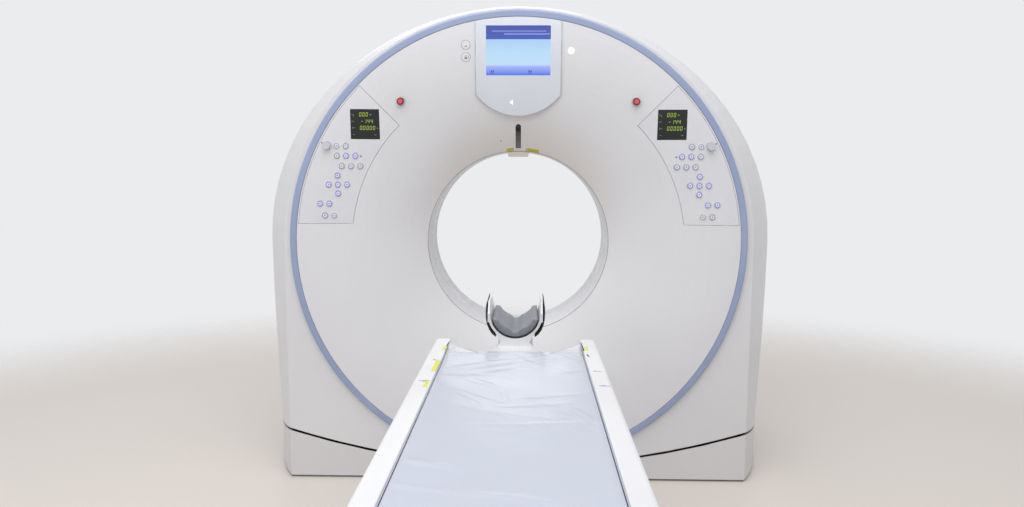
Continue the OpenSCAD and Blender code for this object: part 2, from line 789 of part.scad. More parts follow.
module emergency_stop() {
    color("firebrick") stop_place() translate([0, stop_face, 0]) rotate([-90, 0, 0]) {
        translate([0, 0, -20]) cylinder(r1 = stop_d / 2 - 2, r2 = stop_d / 2, h = 4);
        translate([0, 0, -16]) cylinder(r = stop_d / 2, h = 4);
        translate([0, 0, -13]) cylinder(r = stem_r, h = 40);
    }
}
module right_emergency_stop() { emergency_stop(); }
module left_emergency_stop() { mirror([1, 0, 0]) emergency_stop(); }
module laser_window() {
    color("black") intersection() {
        band(bore_r, bore_r + 160, -1, 40);
        seen_front(-ring_y - 10, -throat_y + 60) laser_shape(0);
    }
}
module indicator_lamps() {
    color("white") for (p = lamp_places) intersection() {
        band(ring_in_r - 300, rim_r - 6, 1, cover_t + 2);
        translate([p[0], -ring_y - 10, iso_h + p[1]]) rotate([-90, 0, 0]) cylinder(r = p[2], h = 40);
    }
}

// Main bearing, drive and slip ring
bearing_w = 45;
bearing_y = frame_plate_y - 5;
hub_r = bearing_r - 30;
drum_y = 70;
drum_t = 24;
stator_r = rotor_r - 110;
generator_angle = -35;
weight_angle = 226;
module main_bearing_outer() {
    color("silver") ring_solid(bearing_r, frame_in_r, bearing_y, bearing_y + bearing_w);
}
module main_bearing_inner() {
    color("silver") ring_solid(hub_r, bearing_r - run_gap, bearing_y, bearing_y + bearing_w);
}
module drive_stator() {
    color("peru") ring_solid(stator_r, stator_r + 60, frame_plate_y - 30, frame_plate_y);
}
slip_y = bearing_y + bearing_w + 40;
module slip_ring() {
    tracks = 5;
    color("goldenrod") difference() {
        ring_solid(hub_r, hub_r + 120, slip_y, slip_y + 20);
        for (i = [0 : tracks - 1])
            ring_solid(hub_r + 20 + i * 20, hub_r + 28 + i * 20, slip_y + 16, slip_y + 20 + over);
    }
}
module brush_block() {
    brush_y = slip_y + 20 + slide_gap;
    color("saddlebrown") rotate_on_bore(-35) translate([0, 0, -iso_h]) {
        block(hub_r + 15, hub_r + 160, brush_y, brush_y + 40, iso_h - 50, iso_h + 50);
        block(hub_r + 130, hub_r + 160, frame_plate_y + frame_plate_t, brush_y + 40, iso_h - 50, iso_h + 50);
    }
}

// Rotor and what it carries
module rotor_drum() {
    color("silver") difference() {
        union() {
            ring_solid(hub_r - 20, rotor_r, drum_y, drum_y + drum_t);
            ring_solid(rotor_r - 16, rotor_r, -90, drum_y + drum_t);
            ring_solid(hub_r - 20, hub_r, drum_y, slip_y + 20);
        }
        for (a = [0 : 45 : 315]) rotate_on_bore(a + 22.5)
            translate([stator_r - 40, drum_y - over, 0]) rotate([-90, 0, 0])
                cylinder(r = 55, h = drum_t + 2 * over);
    }
}
collimator_r = bore_r + 50;
collimator_h = 75;
port_h = 20;
tube_low = collimator_r + collimator_h + port_h;
tube_r = (rotor_r - 55 - tube_low) / 2;
module xray_tube_unit() {
    color("lightslategray") translate([0, 0, iso_h + tube_low + tube_r]) {
        translate([0, -150, 0]) rotate([-90, 0, 0]) cylinder(r = tube_r, h = drum_y + 150);
        translate([0, -175, 0]) rotate([-90, 0, 0]) cylinder(r = tube_r - 45, h = 25 + over);
        block(-60, 60, -60, 60, -tube_r - port_h, -0.76 * tube_r);
    }
}
module collimator() {
    low = iso_h + collimator_r;
    color("dimgray") difference() {
        block(-95, 95, -55, drum_y, low, low + collimator_h);
        block(-60, 60, -30, 30, low - 10, low + collimator_h + 15);
    }
}
module detector_array() {
    r0 = bore_r + 130;
    color("steelblue") intersection() {
        union() {
            ring_solid(r0, r0 + 60, -60, 60);
            ring_solid(r0 + 60, r0 + 110, -80, drum_y);
        }
        seen_front(-100, drum_y) polygon([[0, 0],
            [-big * sin(detector_arc / 2), -big * cos(detector_arc / 2)],
            [big * sin(detector_arc / 2), -big * cos(detector_arc / 2)]]);
    }
}
module high_voltage_generator() {
    color("darkslategray") rotate_on_bore(generator_angle) translate([0, 0, -iso_h])
        block(bore_r + 80, rotor_r - 80, -110, drum_y, iso_h - 150, iso_h + 150);
}
// Balances the tube, the detector and the generator about the bore axis
module counterweight() {
    slabs = 4;
    slab_t = (drum_y + 100) / slabs;
    color("dimgray") rotate_on_bore(weight_angle) translate([0, 0, -iso_h]) for (i = [0 : slabs - 1])
        block(bore_r + 110, rotor_r - 110 - i * 4, drum_y - (i + 1) * slab_t, drum_y - i * slab_t,
              iso_h - 100, iso_h + 100);
}

// Cable duct on the floor between gantry and couch
duct_w = 150;
duct_h = 40;
module cable_duct() {
    color("gainsboro") seen_front_floor(-base_near, -face_y) difference() {
        polygon([[-duct_w / 2, 0], [-duct_w / 2 + 22, duct_h], [duct_w / 2 - 22, duct_h], [duct_w / 2, 0]]);
        polygon([[-duct_w / 2 + 8, -over], [-duct_w / 2 + 26, duct_h - 3],
                 [duct_w / 2 - 26, duct_h - 3], [duct_w / 2 - 8, -over]]);
    }
}

// Couch: heights of the stacked pieces at rest
rail_top = couch_h;
rail_low = rail_top - rail_h;
mattress_low = couch_h - mattress_t;
top_low = mattress_low - top_mid;
pan_top = rail_low + 4;
pan_low = rail_low - 4;
channel_half = channel_w / 2;
guide_h = 18;
guide_w = 20;
guide_x = 110;
screw_z = pan_top + 26;
end_cover_l = 60;
base_y = -base_near - base_l / 2;

// Crescent section of the tabletop, in x and z
module top_profile() {
    sag = top_mid - top_edge;
    r = (sq(top_w / 2) + sq(sag)) / (2 * sag);
    intersection() {
        translate([0, top_low + r]) circle(r = r, $fn = 360);
        translate([-top_w / 2, top_low - over]) square([top_w, top_mid + over]);
    }
}
foot_in = foot_end - end_cover_l - 10;
module tabletop() {
    color("darkslategray") seen_front_floor(-foot_in, -top_end) top_profile();
}
module mattress() {
    color("lightsteelblue") seen_front_floor(-foot_in, -mattress_end) hull() {
        translate([-mattress_w / 2, mattress_low]) square([mattress_w, mattress_t / 2]);
        for (x = [-1, 1]) translate([x * (mattress_w / 2 - 8), couch_h - 8]) circle(r = 8, $fn = 32);
    }
}
carriage_l = 500;
carriage_y = -foot_in + 60;
module table_carriage() {
    color("silver") difference() {
        union() {
            seen_front_floor(carriage_y, carriage_y + carriage_l) difference() {
                translate([-150, pan_top + guide_h + 4]) square([300, top_low + 26 - pan_top - guide_h - 4]);
                top_profile();
                for (x = [-guide_x, guide_x]) translate([x - guide_w / 2 - slide_gap, pan_top])
                    square([guide_w + 2 * slide_gap, guide_h + slide_gap]);
            }
            for (x = [-guide_x, guide_x], y = [carriage_y + 30, carriage_y + carriage_l - 90])
                seen_front_floor(y, y + 60) difference() {
                    translate([x - 24, pan_top + 3]) square([48, guide_h + 4]);
                    translate([x - guide_w / 2 - slide_gap, pan_top])
                        square([guide_w + 2 * slide_gap, guide_h + slide_gap]);
                }
            seen_front_floor(carriage_y + 200, carriage_y + 280)
                translate([-30, screw_z - 20]) square([60, 30]);
        }
        translate([0, carriage_y - over, screw_z]) rotate([-90, 0, 0])
            cylinder(r = screw_r + run_gap, h = carriage_l + 2 * over);
    }
}

screw_in = 20;
motor_y = -foot_in - 10;
screw_y0 = motor_y - screw_in;
screw_y1 = -rail_end - 90;
module drive_screw() {
    color("silver") translate([0, screw_y0, screw_z]) rotate([-90, 0, 0])
        cylinder(r = screw_r, h = screw_y1 - screw_y0);
}
bearing_block_l = 24;
module screw_block(y) {
    block(-32, 32, y, y + bearing_block_l, pan_top, screw_z + 16);
}
roller_r = 20;
roller_y = -rail_end - 45;
roller_z = top_low - slide_gap - roller_r;
roller_pin_r = 6;
roller_l = 90;
module support_roller() {
    color("dimgray") translate([-roller_l / 2, roller_y, roller_z]) rotate([0, 90, 0]) {
        cylinder(r = roller_r, h = roller_l);
        translate([0, 0, -16]) cylinder(r = roller_pin_r, h = roller_l + 32);
    }
}
module couch_frame() {
    pan_y0 = -foot_end + 16;
    color("gainsboro") difference() {
        union() {
            block(-channel_half, channel_half, pan_y0, -rail_end, pan_low, pan_top);
            both_sides() block(0, channel_half + rail_w - rail_round, pan_y0, -rail_end,
                               pan_low, rail_low);
            for (x = [-guide_x, guide_x])
                block(x - guide_w / 2, x + guide_w / 2, -foot_in, -rail_end - 60,
                      pan_top, pan_top + guide_h);
            screw_block(screw_y1 - bearing_block_l);
            screw_block(motor_y + 6);
            for (x = [-1, 1]) block(x * (roller_l / 2 + 10) - 8, x * (roller_l / 2 + 10) + 8,
                                    roller_y - 14, roller_y + 14, pan_top - over, roller_z + 12);
        }
        translate([0, -foot_end - over, screw_z]) rotate([-90, 0, 0])
            cylinder(r = screw_r + run_gap, h = foot_end - rail_end - 60);
        translate([-roller_l, roller_y, roller_z]) rotate([0, 90, 0])
            cylinder(r = roller_pin_r + run_gap, h = 2 * roller_l);
        block(-roller_l / 2 - over, roller_l / 2 + over, roller_y - roller_r - over,
              roller_y + roller_r + over, pan_low - over, pan_top + over);
    }
}
module table_drive_motor() {
    color("dimgray") difference() {
        block(-34, 34, motor_y - 40, motor_y, pan_top, screw_z + 34);
        translate([0, motor_y - screw_in - 2, screw_z]) rotate([-90, 0, 0])
            cylinder(r = screw_r + run_gap, h = screw_in + 2 + over);
    }
}

rail_round = 24;
module rail_profile() {
    x0 = channel_half;
    x1 = channel_half + rail_w;
    difference() {
        hull() {
            translate([x0 + 3, rail_top - 3]) circle(r = 3, $fn = 32);
            translate([x1 - 14, rail_top - 14]) circle(r = 14, $fn = 32);
            translate([x1 - rail_round, rail_low + rail_round]) circle(r = rail_round, $fn = 32);
            translate([x0, rail_low]) square([4, 4]);
        }
        translate([x0 - over, rail_top - 44]) square([7 + over, 14]);
        translate([x0 + 12, rail_low + 18]) square([rail_w - 26, rail_h - 74]);
    }
}
module side_rail() {
    seen_front_floor(-foot_end + end_cover_l, -rail_end) rail_profile();
}
module right_side_rail() { color("whitesmoke") side_rail(); }
module left_side_rail() { color("whitesmoke") mirror([1, 0, 0]) side_rail(); }
module couch_end_cover() {
    half = channel_half + rail_w;
    color("whitesmoke") difference() {
        hull() for (x = [-1, 1]) {
            translate([x * (half - 30), -foot_end + 30, rail_low]) cylinder(r = 30, h = rail_h - 6, $fn = 32);
            translate([x * (half - 20) - 20, -foot_end + end_cover_l - over, rail_low]) cube([40, over, rail_h]);
        }
        block(-channel_half, channel_half, -foot_end + 14, big, pan_low - over, big);
    }
}

// Lifting column in three stages, each closed in by a cover of its own
stage_h = lower_cover_h - 15;
mid_low = 168;
mid_h = 270;
upper_low = pan_low - stage_h;
cover_gap = 9;
cover_skin = 3;
cover_round = 70;
glide_h = 30;
module tube_shape(w, l, t, r) {
    difference() {
        round_rect(w, l, r);
        round_rect(w - 2 * t, l - 2 * t, max(r - t, 2));
    }
}
module stage(w, l, t, r, z0, z1) {
    translate([0, base_y, z0]) linear_extrude(z1 - z0) tube_shape(w, l, t, r);
}
module column_stage(i, z0, z1) {
    shrink = 2 * i * (column_t + slide_gap);
    stage(column_w - shrink, column_l - shrink, column_t, 24 - i * 4, z0, z1);
}
// Ring between two insets from the couch base's outline
module cover_ring(out, in, z0, z1) {
    translate([0, base_y, z0]) linear_extrude(z1 - z0) difference() {
        round_rect(base_w - 2 * out, base_l - 2 * out, cover_round - out);
        round_rect(base_w - 2 * in, base_l - 2 * in, cover_round - in);
    }
}
// Cover number i of the nested covers, with a glide strip along its lower edge
module cover_stage(i, z0, z1) {
    out = i * (cover_skin + cover_gap);
    cover_ring(out, out + cover_skin, z0, z1);
    if (i > 0) cover_ring(out - cover_gap + slide_gap, out + cover_skin, z0, z0 + glide_h);
}
foot_plate_t = 15;
couch_anchor_dx = 340;
couch_anchor_dy = 1000;
module couch_base_frame() {
    color("dimgray") difference() {
        translate([0, base_y, 0]) linear_extrude(foot_plate_t) round_rect(base_w, base_l, cover_round);
        for (x = [-1, 1], y = [-1, 1])
            translate([x * couch_anchor_dx / 2, base_y + y * couch_anchor_dy / 2, -over])
                cylinder(r = anchor_r, h = foot_plate_t + 2 * over);
    }
}
module couch_lower_cover() {
    color("whitesmoke") cover_stage(0, foot_plate_t, lower_cover_h);
}
module couch_middle_cover() {
    color("gainsboro") cover_stage(1, mid_low, mid_low + mid_h);
}
module couch_upper_cover() {
    color("whitesmoke") cover_stage(2, upper_low, pan_low);
}
module column_outer_tube() { color("slategray") column_stage(0, foot_plate_t, lower_cover_h - 5); }
module column_middle_tube() { color("silver") column_stage(1, mid_low, mid_low + mid_h); }
module column_inner_tube() { color("slategray") column_stage(2, upper_low, pan_low); }

// Headrest: white cradle on a tongue, black liner and grey foam
cup_r = 96;
cup_in_r = 88;
liner_t = 5;
cup_z = mattress_low + 115;
fin_t = 6;
fin_x = cup_w / 2 - 6 - fin_t;
fin_z = couch_h + fin_up;
cup_near = -cup_tip - cup_l;
tongue_t = 16;
module headrest_cradle() {
    color("whitesmoke") {
        translate([0, 0, mattress_low - tongue_t]) linear_extrude(tongue_t) polygon([
            [-80, -top_end], [-64, cup_near + 10], [-56, cup_near + 120], [-40, -cup_tip - 20],
            [40, -cup_tip - 20], [56, cup_near + 120], [64, cup_near + 10], [80, -top_end]]);
        seen_front_floor(cup_near, -cup_tip) difference() {
            union() {
                intersection() {
                    translate([0, cup_z]) circle(r = cup_r);
                    translate([-cup_r, mattress_low]) square([2 * cup_r, cup_z - mattress_low]);
                }
                polygon([[-62, mattress_low - over], [62, mattress_low - over], [50, mattress_low + 14],
                         [72, cup_z - 62], [-72, cup_z - 62], [-50, mattress_low + 14]]);
            }
            translate([0, cup_z]) circle(r = cup_in_r);
        }
        for (x = [-1, 1]) seen_side(x * (cup_r - 3) - 3, x * (cup_r - 3) + 3) hull() {
            translate([cup_near, cup_z - 30]) square([cup_l, 26]);
            translate([cup_near + 60, fin_z - 24]) circle(r = 24, $fn = 32);
            translate([-cup_tip - 70, fin_z - 34]) circle(r = 24, $fn = 32);
        }
    }
}
module headrest_liner() {
    color("black") seen_front_floor(cup_near + 4, -cup_tip - 4) intersection() {
        difference() {
            translate([0, cup_z]) circle(r = cup_in_r);
            translate([0, cup_z]) circle(r = cup_in_r - liner_t);
        }
        translate([-cup_r, cup_z - 2 * cup_r]) square([2 * cup_r, 2 * cup_r - 40]);
    }
}
module headrest_pad() {
    color("dimgray") seen_front_floor(cup_near + 2, -cup_tip - 2) difference() {
        intersection() {
            translate([0, cup_z]) circle(r = cup_in_r - liner_t - slide_gap);
            translate([-cup_r, cup_z - cup_r]) square([2 * cup_r, cup_r - 17]);
        }
        translate([0, cup_z + 12]) circle(r = 70);
        translate([0, cup_z - 46]) circle(r = 22);
    }
}

base_frame();
base_front_cover();
base_rear_cover();
left_upright();
right_upright();
tilt_drive_unit();
cable_duct();
couch_base_frame();
couch_lower_cover();
column_outer_tube();
tilt_pinion();
tilt_frame();
tilt_sector_gear();
outer_shell();
front_cover();
accent_ring();
rear_cover();
rear_funnel();
scan_window();
display_panel();
touch_screen();
left_control_panel();
right_control_panel();
readouts();
keypads();
laser_window();
bore_tab();
indicator_lamps();
main_bearing_outer();
drive_stator();
brush_block();
rotor_drum();
main_bearing_inner();
slip_ring();
xray_tube_unit();
collimator();
detector_array();
high_voltage_generator();
counterweight();
left_emergency_stop();
right_emergency_stop();
left_hold_button();
right_hold_button();
column_middle_tube();
couch_middle_cover();
column_inner_tube();
couch_frame();
couch_upper_cover();
left_side_rail();
right_side_rail();
couch_end_cover();
table_drive_motor();
support_roller();
drive_screw();
tabletop();
mattress();
table_carriage();
headrest_cradle();
headrest_liner();
headrest_pad();
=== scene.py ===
"""Looks of a CT scanner: a tilting gantry with a dished front, and its lifting couch.

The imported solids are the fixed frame. This script gives them finishes and adds the key caps, the
readouts' digits, the screen's marks, tapes, fasteners, the mattress, the head pad and two film
flaps, all in metres in the same frame: +X to the right seen from the couch, +Y from the couch
through the bore, +Z up.
"""

import math

import bmesh
import bpy
from mathutils import Matrix, Vector, noise
from mathutils.bvhtree import BVHTree


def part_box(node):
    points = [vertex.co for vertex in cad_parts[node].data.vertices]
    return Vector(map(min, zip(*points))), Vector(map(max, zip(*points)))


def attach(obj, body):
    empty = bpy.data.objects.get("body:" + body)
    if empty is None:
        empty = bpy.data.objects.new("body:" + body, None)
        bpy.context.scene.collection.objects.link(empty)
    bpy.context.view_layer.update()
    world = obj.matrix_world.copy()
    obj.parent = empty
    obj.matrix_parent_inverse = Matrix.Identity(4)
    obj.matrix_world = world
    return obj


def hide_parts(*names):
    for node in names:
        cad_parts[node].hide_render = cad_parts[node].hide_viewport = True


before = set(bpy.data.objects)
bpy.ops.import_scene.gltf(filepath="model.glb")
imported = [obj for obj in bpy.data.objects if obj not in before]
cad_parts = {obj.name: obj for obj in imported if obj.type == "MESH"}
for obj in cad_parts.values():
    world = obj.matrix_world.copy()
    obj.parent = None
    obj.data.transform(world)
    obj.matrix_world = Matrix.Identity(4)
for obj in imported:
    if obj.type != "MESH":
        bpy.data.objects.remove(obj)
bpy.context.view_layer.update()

bl_info = {
    "name": "CT Scanner",
    "version": (1, 0, 0),
    "blender": (4, 5, 0),
    "location": "3D View > Sidebar > CT Scanner",
    "description": "Finishes and soft parts of a CT scanner's gantry and couch",
    "category": "Object",
}

MM = 0.001
MADE = {}  # finishes and the studs' node tree, made on first use
REAR_SEAM_Y = 0.330  # where the outer shell meets the rear cover
DISPLAY_TOP, DISPLAY_TIP = 0.906, 0.533  # ends of the display housing above the bore axis


def linear(code):
    """Turns an sRGB hex colour into Blender's linear colour."""
    parts = [int(code[i : i + 2], 16) / 255 for i in (1, 3, 5)]
    return (*[p / 12.92 if p <= 0.04045 else ((p + 0.055) / 1.055) ** 2.4 for p in parts], 1.0)


def add(tree, kind, sockets=None, **settings):
    """Adds a node with its settings, and fills its sockets with values or other nodes' outputs."""
    node = tree.nodes.new(kind)
    for name, value in settings.items():
        setattr(node, name, value)
    for name, value in (sockets or {}).items():
        if isinstance(value, bpy.types.NodeSocket):
            tree.links.new(value, node.inputs[name])
        else:
            node.inputs[name].default_value = value
    return node


class ScannerSizes(bpy.types.PropertyGroup):
    """Sizes that the added pieces follow."""

    iso_height: bpy.props.FloatProperty(
        name="Bore axis height",
        description="Height of the bore axis above the floor",
        default=1.02,
        unit="LENGTH",
    )
    bore_radius: bpy.props.FloatProperty(
        name="Bore radius", description="Radius of the patient bore", default=0.390, unit="LENGTH"
    )
    ring_radius: bpy.props.FloatProperty(
        name="Ring radius",
        description="Inner radius of the blue ring",
        default=0.921,
        unit="LENGTH",
    )
    front_y: bpy.props.FloatProperty(
        name="Front plane",
        description="Depth of the ring's front face, in front of the tilt axis",
        default=-0.345,
        unit="LENGTH",
    )
    bowl_depth: bpy.props.FloatProperty(
        name="Bowl depth",
        description="Depth of the bowl from the ring to the bore's edge",
        default=0.145,
        unit="LENGTH",
    )
    key_radius: bpy.props.FloatProperty(
        name="Key radius", description="Radius of a key cap", default=0.0118, unit="LENGTH"
    )
    digit_height: bpy.props.FloatProperty(
        name="Digit height",
        description="Height of the readouts' digits",
        default=0.0165,
        unit="LENGTH",
    )
    fold_height: bpy.props.FloatProperty(
        name="Fold height",
        description="Height of the mattress cover's folds",
        default=0.0040,
        unit="LENGTH",
    )


class ScannerColours(bpy.types.PropertyGroup):
    """Colours of the main finishes."""

    casing: bpy.props.FloatVectorProperty(
        name="Casing",
        description="Colour of the painted covers",
        default=linear("#dddddf"),
        size=4,
        subtype="COLOR",
    )
    moulding: bpy.props.FloatVectorProperty(
        name="Front moulding",
        description="Colour of the dished front cover",
        default=linear("#dedee1"),
        size=4,
        subtype="COLOR",
    )
    ring: bpy.props.FloatVectorProperty(
        name="Ring",
        description="Colour of the ring round the front cover",
        default=linear("#919fbf"),
        size=4,
        subtype="COLOR",
    )
    couch: bpy.props.FloatVectorProperty(
        name="Couch",
        description="Colour of the couch's painted parts",
        default=linear("#ececed"),
        size=4,
        subtype="COLOR",
    )
    mattress: bpy.props.FloatVectorProperty(
        name="Mattress",
        description="Colour of the mattress's vinyl cover",
        default=linear("#c3c8d4"),
        size=4,
        subtype="COLOR",
    )


def sizes():
    """The sizes that the user can change."""
    return bpy.context.scene.scanner_sizes


def colours():
    """The colours that the user can change."""
    return bpy.context.scene.scanner_colours


# Finishes


def new_finish(name, colour, roughness, **sockets):
    """A material with one Principled shader: returns it with its tree, shader and place."""
    material = bpy.data.materials.new(name)
    material.use_nodes = True
    tree = material.node_tree
    tree.nodes.clear()
    values = {"Base Color": linear(colour) if isinstance(colour, str) else tuple(colour)}
    values["Roughness"] = roughness
    values.update({key.replace("_", " "): value for key, value in sockets.items()})
    shader = add(tree, "ShaderNodeBsdfPrincipled", values)
    add(tree, "ShaderNodeOutputMaterial", {"Surface": shader.outputs[0]})
    place = add(tree, "ShaderNodeTexCoord").outputs["Object"]
    return material, tree, shader, place


def tint(tree, shader, share, colour):
    """Blends the base colour towards another one, by a share from 0 to 1."""
    base = shader.inputs["Base Color"]
    before = base.links[0].from_socket if base.is_linked else tuple(base.default_value)
    blend = add(
        tree, "ShaderNodeMix", {0: share, 6: before, 7: linear(colour)}, data_type="RGBA"
    )
    tree.links.new(blend.outputs[2], base)


def drifting(tree, shader, place, spot, size, share):
    """Lets the base colour drift towards another colour in soft patches of that size."""
    cloud = add(tree, "ShaderNodeTexNoise", {"Vector": place, "Scale": 1 / size, "Detail": 3.0})
    amount = add(
        tree,
        "ShaderNodeMapRange",
        {"Value": cloud.outputs["Fac"], "From Min": 0.4, "From Max": 0.68, "To Max": share},
    )
    tint(tree, shader, amount.outputs[0], spot)


def uneven_gloss(tree, shader, place, size, low, high, detail=4.0):
    """Varies the roughness between two values, as handling and cleaning leave it."""
    cloud = add(
        tree, "ShaderNodeTexNoise", {"Vector": place, "Scale": 1 / size, "Detail": detail}
    )
    spread = add(
        tree,
        "ShaderNodeMapRange",
        {
            "Value": cloud.outputs["Fac"],
            "From Min": 0.3,
            "From Max": 0.7,
            "To Min": low,
            "To Max": high,
        },
    )
    tree.links.new(spread.outputs[0], shader.inputs["Roughness"])


def relief(tree, shader, heights, depth):
    """Gives the surface the relief of a height pattern, depth metres from low to high."""
    bump = add(tree, "ShaderNodeBump", {"Height": heights, "Distance": depth, "Strength": 1.0})
    before = shader.inputs["Normal"]
    if before.is_linked:
        tree.links.new(before.links[0].from_socket, bump.inputs["Normal"])
    tree.links.new(bump.outputs[0], before)


def grain(tree, place, size, detail=2.0, stretch=(1, 1, 1)):
    """Height pattern of a fine grain of that size; a large stretch makes it fine along an axis."""
    turned = add(tree, "ShaderNodeMapping", {"Vector": place, "Scale": stretch})
    return add(
        tree,
        "ShaderNodeTexNoise",
        {"Vector": turned.outputs[0], "Scale": 1 / size, "Detail": detail},
    ).outputs["Fac"]


def height_in(tree, place, node):
    """Height within a CAD node's box, from 0 at its foot to 1 at its top."""
    low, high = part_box(node)
    height = add(tree, "ShaderNodeSeparateXYZ", {0: place}).outputs["Z"]
    return add(
        tree, "ShaderNodeMapRange", {"Value": height, "From Min": low.z, "From Max": high.z}
    ).outputs[0]


def ramp(tree, share, stops):
    """Colour that goes with a share from 0 to 1; stops are (share, colour) pairs."""
    node = add(tree, "ShaderNodeValToRGB", {"Fac": share})
    elements = node.color_ramp.elements
    while len(elements) < len(stops):
        elements.new(0.5)
    for element, (at, _) in zip(elements, stops):
        element.position = at
    for element, (_, colour) in zip(elements, stops):
        element.color = linear(colour)
    return node.outputs[0]


def reach_from(tree, place, x, z):
    """Distance from the line along Y through that x and z."""
    off = add(tree, "ShaderNodeVectorMath", {0: place, 1: (x, 0, z)}, operation="SUBTRACT")
    flat = add(
        tree, "ShaderNodeVectorMath", {0: off.outputs[0], 1: (1, 0, 1)}, operation="MULTIPLY"
    )
    return add(
        tree, "ShaderNodeVectorMath", {0: flat.outputs[0]}, operation="LENGTH"
    ).outputs["Value"]


def painted_cover(name, colour, seam_y=None):
    """Sprayed two-pack paint on glass-fibre covers: a satin coat with a faint orange peel."""
    material, tree, shader, place = new_finish(
        name, colour, 0.42, Coat_Weight=0.12, Coat_Roughness=0.22
    )
    drifting(tree, shader, place, "#d6d5d8", 0.6, 0.5)
    if seam_y is not None:
        # the joint between two covers shows as a dark line
        half_width = 0.0018
        depth = add(tree, "ShaderNodeSeparateXYZ", {0: place}).outputs["Y"]
        near = add(
            tree, "ShaderNodeMath", {0: depth, 1: seam_y, 2: half_width}, operation="COMPARE"
        )
        tint(tree, shader, near.outputs[0], "#55565a")
    uneven_gloss(tree, shader, place, 0.25, 0.36, 0.5)
    # orange peel is about 2 mm across and a few hundredths of a millimetre deep
    relief(tree, shader, grain(tree, place, 2.2 * MM), 0.03 * MM)
    return material


def moulding_finish():
    """Sprayed satin paint over the dished front, with a warm painted shade round the bore."""
    material = painted_cover("painted_front_moulding", colours().moulding)
    tree = material.node_tree
    shader = next(n for n in tree.nodes if n.bl_idname == "ShaderNodeBsdfPrincipled")
    place = next(n for n in tree.nodes if n.bl_idname == "ShaderNodeTexCoord").outputs["Object"]
    # the painted warm shade is centred a little above the bore's axis
    middle = sizes().iso_height + 0.16
    near = add(
        tree,
        "ShaderNodeMapRange",
        {
            "Value": reach_from(tree, place, 0, middle),
            "From Min": 0.5,
            "From Max": 0.2,
            "To Max": 0.85,
        },
        interpolation_type="SMOOTHSTEP",
    )
    # painted shade: the base colour drifts to a warm beige towards the bore
    tint(tree, shader, near.outputs[0], "#d2ccc5")
    return material


def moulded_plastic(name, colour, spot, roughness=0.38, texture=1.0):
    """Injection-moulded ABS with a spark-eroded grain, which softens its highlights."""
    material, tree, shader, place = new_finish(name, colour, roughness)
    drifting(tree, shader, place, spot, 0.18, 0.6)
    uneven_gloss(tree, shader, place, 0.08, roughness - 0.05, roughness + 0.09)
    # the tool's grain is near 1 mm across
    relief(tree, shader, grain(tree, place, 1.1 * MM), 0.02 * MM * texture)
    return material


def machined_metal(name, colour, roughness):
    """Turned or milled steel: fine cutter lines and slight oil stains in the gloss."""
    material, tree, shader, place = new_finish(name, colour, roughness, Metallic=1.0)
    drifting(tree, shader, place, "#8c8f93", 0.09, 0.5)
    uneven_gloss(tree, shader, place, 0.06, roughness - 0.07, roughness + 0.12)
    relief(tree, shader, grain(tree, place, 30 * MM, 3.0, (1, 1, 40)), 0.02 * MM)
    return material


def cast_metal(name, colour, spot, roughness=0.55):
    """Enamel sprayed on a sand casting: the cast grain shows through the paint."""
    material, tree, shader, place = new_finish(name, colour, roughness)
    drifting(tree, shader, place, spot, 0.15, 0.8)
    uneven_gloss(tree, shader, place, 0.1, roughness - 0.12, roughness + 0.1)
    relief(tree, shader, grain(tree, place, 3.5 * MM, 4.0), 0.12 * MM)
    return material


def glow(name, colour, strength, base="#101114"):
    """Lit parts behind a clear lens: liquid crystal or light-emitting segments."""
    material, tree, shader, place = new_finish(
        name, base, 0.3, Emission_Color=linear(colour), Emission_Strength=strength
    )
    uneven_gloss(tree, shader, place, 0.02, 0.2, 0.34)
    return material


def finish(name):
    """The finish of that name, made on first use."""
    if name not in MADE:
        MADE[name] = FINISHES[name]()
    return MADE[name]


def screen_finish():
    """Liquid-crystal screen behind glass: a bright picture of plain bands that ignores the room."""
    material, tree, shader, place = new_finish(
        "liquid_crystal_screen", "#0a0c14", 0.16, Emission_Strength=0.92
    )
    bands = [
        (0.0, "#4f70f0"),
        (0.07, "#7f9bfb"),
        (0.17, "#a9b6fb"),
        (0.21, "#c2e2fe"),
        (0.45, "#bfe2fe"),
        (0.718, "#aed6fa"),
        (0.722, "#4a5fba"),
        (1.0, "#4558b0"),
    ]
    picture = ramp(tree, height_in(tree, place, "touch_screen"), bands)
    tree.links.new(picture, shader.inputs["Emission Color"])
    uneven_gloss(tree, shader, place, 0.05, 0.12, 0.2)
    return material


def lamp_finish():
    """Opal acrylic lenses: pale and unlit on the left, lit from behind on the right."""
    material, tree, shader, place = new_finish(
        "opal_acrylic", "#e2e2e6", 0.3, Emission_Color=linear("#fffff8")
    )
    side = add(tree, "ShaderNodeSeparateXYZ", {0: place}).outputs["X"]
    lit = add(tree, "ShaderNodeMath", {0: side, 1: 0.0}, operation="GREATER_THAN")
    power = add(tree, "ShaderNodeMath", {0: lit.outputs[0], 1: 0.35}, operation="MULTIPLY")
    tree.links.new(power.outputs[0], shader.inputs["Emission Strength"])
    uneven_gloss(tree, shader, place, 0.01, 0.24, 0.36)
    return material


